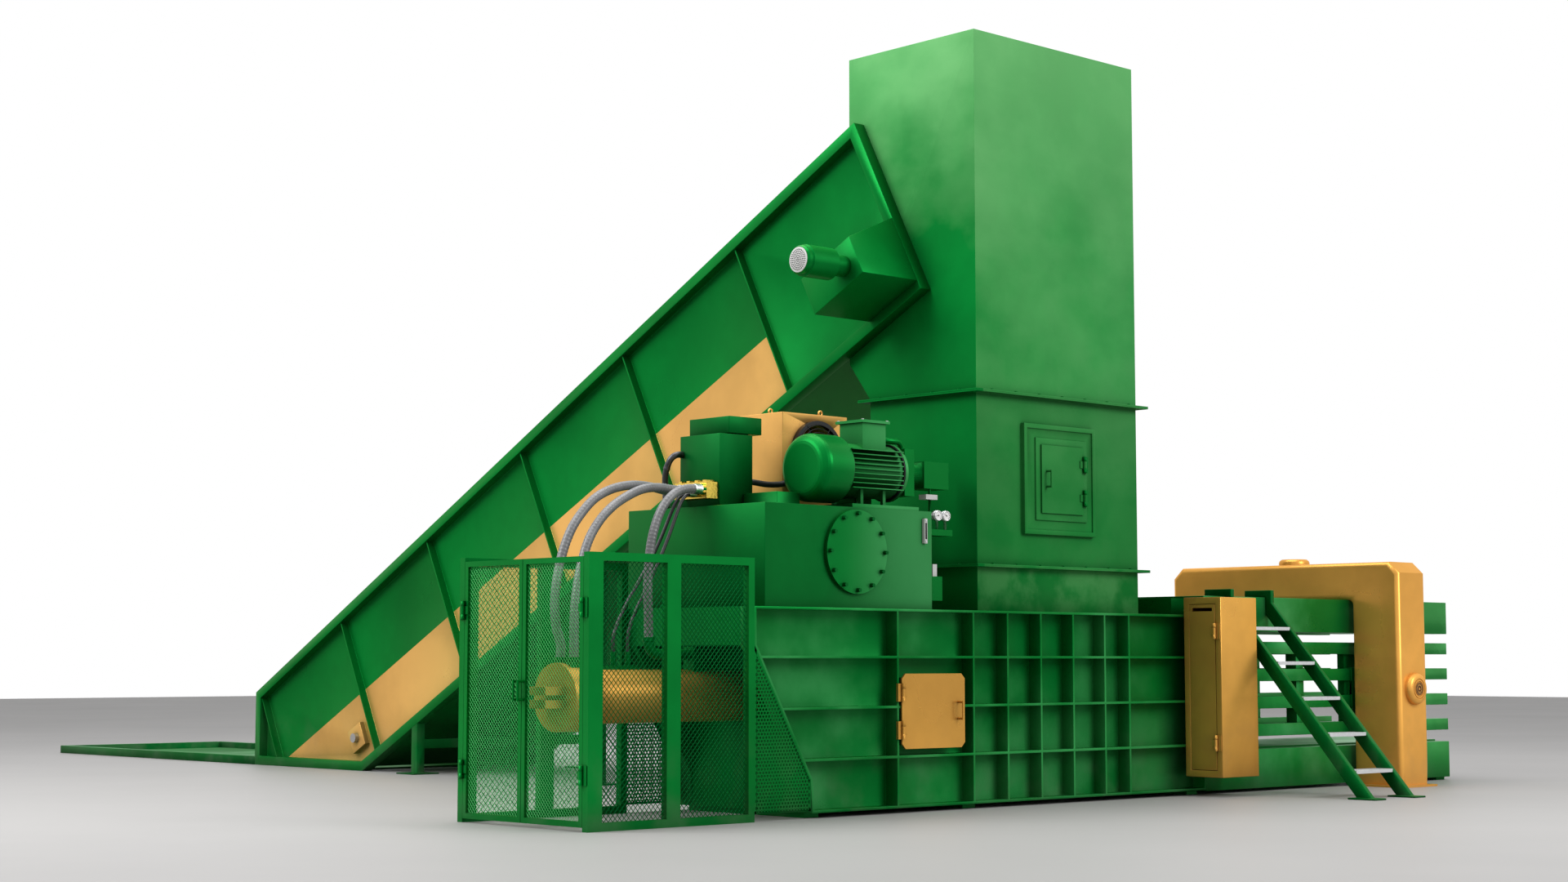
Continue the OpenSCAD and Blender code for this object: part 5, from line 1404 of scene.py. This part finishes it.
@dataclass
class Dresser:
    """Gives every solid its finish and eases the edges of the large ones."""

    plain: tuple[tuple[Finish, tuple[str, ...]], ...] = (
        (Finish.GREEN, ("press_floor", "press_roof", "rear_bulkhead", "base_bearers", "cage_frame",
                        "hose_fittings", "conveyor_deck", "drive_motor", "squeeze_platen", "cage_door_near",
                        "cage_door_far", "bolts")),
        (Finish.FADED, ("tower_door",)),
        (Finish.WORN_STEEL, ("ram_body", "head_drum", "tail_drum")),
        (Finish.CHROME, ("piston_rod", "plunger_near", "plunger_far", "plunger_top")),
        (Finish.BLACK, ("cooler_shroud", "cooler_fan")),
        (Finish.BRASS, ("valve_block",)),
        (Finish.OCHRE, ("main_cylinder", "inspection_door")),
        (Finish.BELT, ("belt",)),
        (Finish.TREAD, ("ladder_treads",)),
        (Finish.MOTOR, ("tank_cover", "pump_motor")),
    )
    soft: tuple[tuple[Finish, tuple[str, ...]], ...] = (
        (Finish.GREEN, ("drive_console",)),
        (Finish.HAZED, ("press_walls",)),
        (Finish.BARS, ("channel_frame", "squeeze_wall_near", "squeeze_wall_far")),
        (Finish.TANK, ("tank",)),
        (Finish.DEEP_GREEN, ("valve_cabinet", "trestles", "loading_kerb", "ladder")),
        (Finish.FADED, ("tower_base", "tower_mid", "tower_upper")),
    )
    shafts: tuple[Pair, ...] = ((0.3762, 4.528), (8.4708, 0.35))
    bore: float = 0.05
    bore_gap: float = 0.0012

    def build(self) -> None:
        """Assign the finishes and make the copies."""
        for finish, names in self.plain:
            for name in names:
                slots = frame["nodes"][name].data.materials
                slots.clear()
                slots.append(finish.material)
        for finish, names in self.soft:
            for name in names:
                eased(name, finish)
        panels = eased("conveyor_panels", Finish.STRIPED, longer=0.05)
        free_bores(panels, self.shafts, self.bore, self.bore_gap)
        eased("portal", Finish.PORTAL, width=0.050, longer=0.14, above=0.12, bend=60.0)
        for name, finish in (("cooler", Finish.COOLER), ("cabinet_body", Finish.OCHRE),
                             ("cabinet_door", Finish.OCHRE)):
            eased(name, finish, width=0.005, longer=0.05)
        parted("hinge_pins", (Finish.GREEN, Finish.OCHRE), self.hinge_paint)
        parted("pump", (Finish.GREEN, Finish.PALE), self.valve_paint)
        parted("gauges", (Finish.STEEL, Finish.PALE), self.gauge_paint)

    @staticmethod
    def hinge_paint(spot: Vector) -> int:
        """Pick ochre for the hinges of the cabinet and the inspection door."""
        x = spot.x + MID_X
        return int(x > 4.5 or 1.2 < x < 1.9)

    @staticmethod
    def valve_paint(spot: Vector) -> int:
        """Pick pale grey for the small valve under the pump."""
        return int(2.495 < spot.z < 2.545 and spot.x + MID_X > 2.05)

    @staticmethod
    def gauge_paint(spot: Vector) -> int:
        """Pick pale grey for the valve and the level gauge beside the dials."""
        return int(spot.z < 2.24 or spot.x + MID_X < 1.95)


def main() -> None:
    """Build the classes in order."""
    logging.basicConfig(level=logging.INFO, format="%(name)s: %(message)s")
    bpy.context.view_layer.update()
    Studio().build()
    for hose in HOSES:
        hose.build()
    Dresser().build()
    GuardCage().build()
    PowerPack().build()
    ConveyorTrim().build()
    PortalTrim().build()


if __name__ == "__main__":
    main()
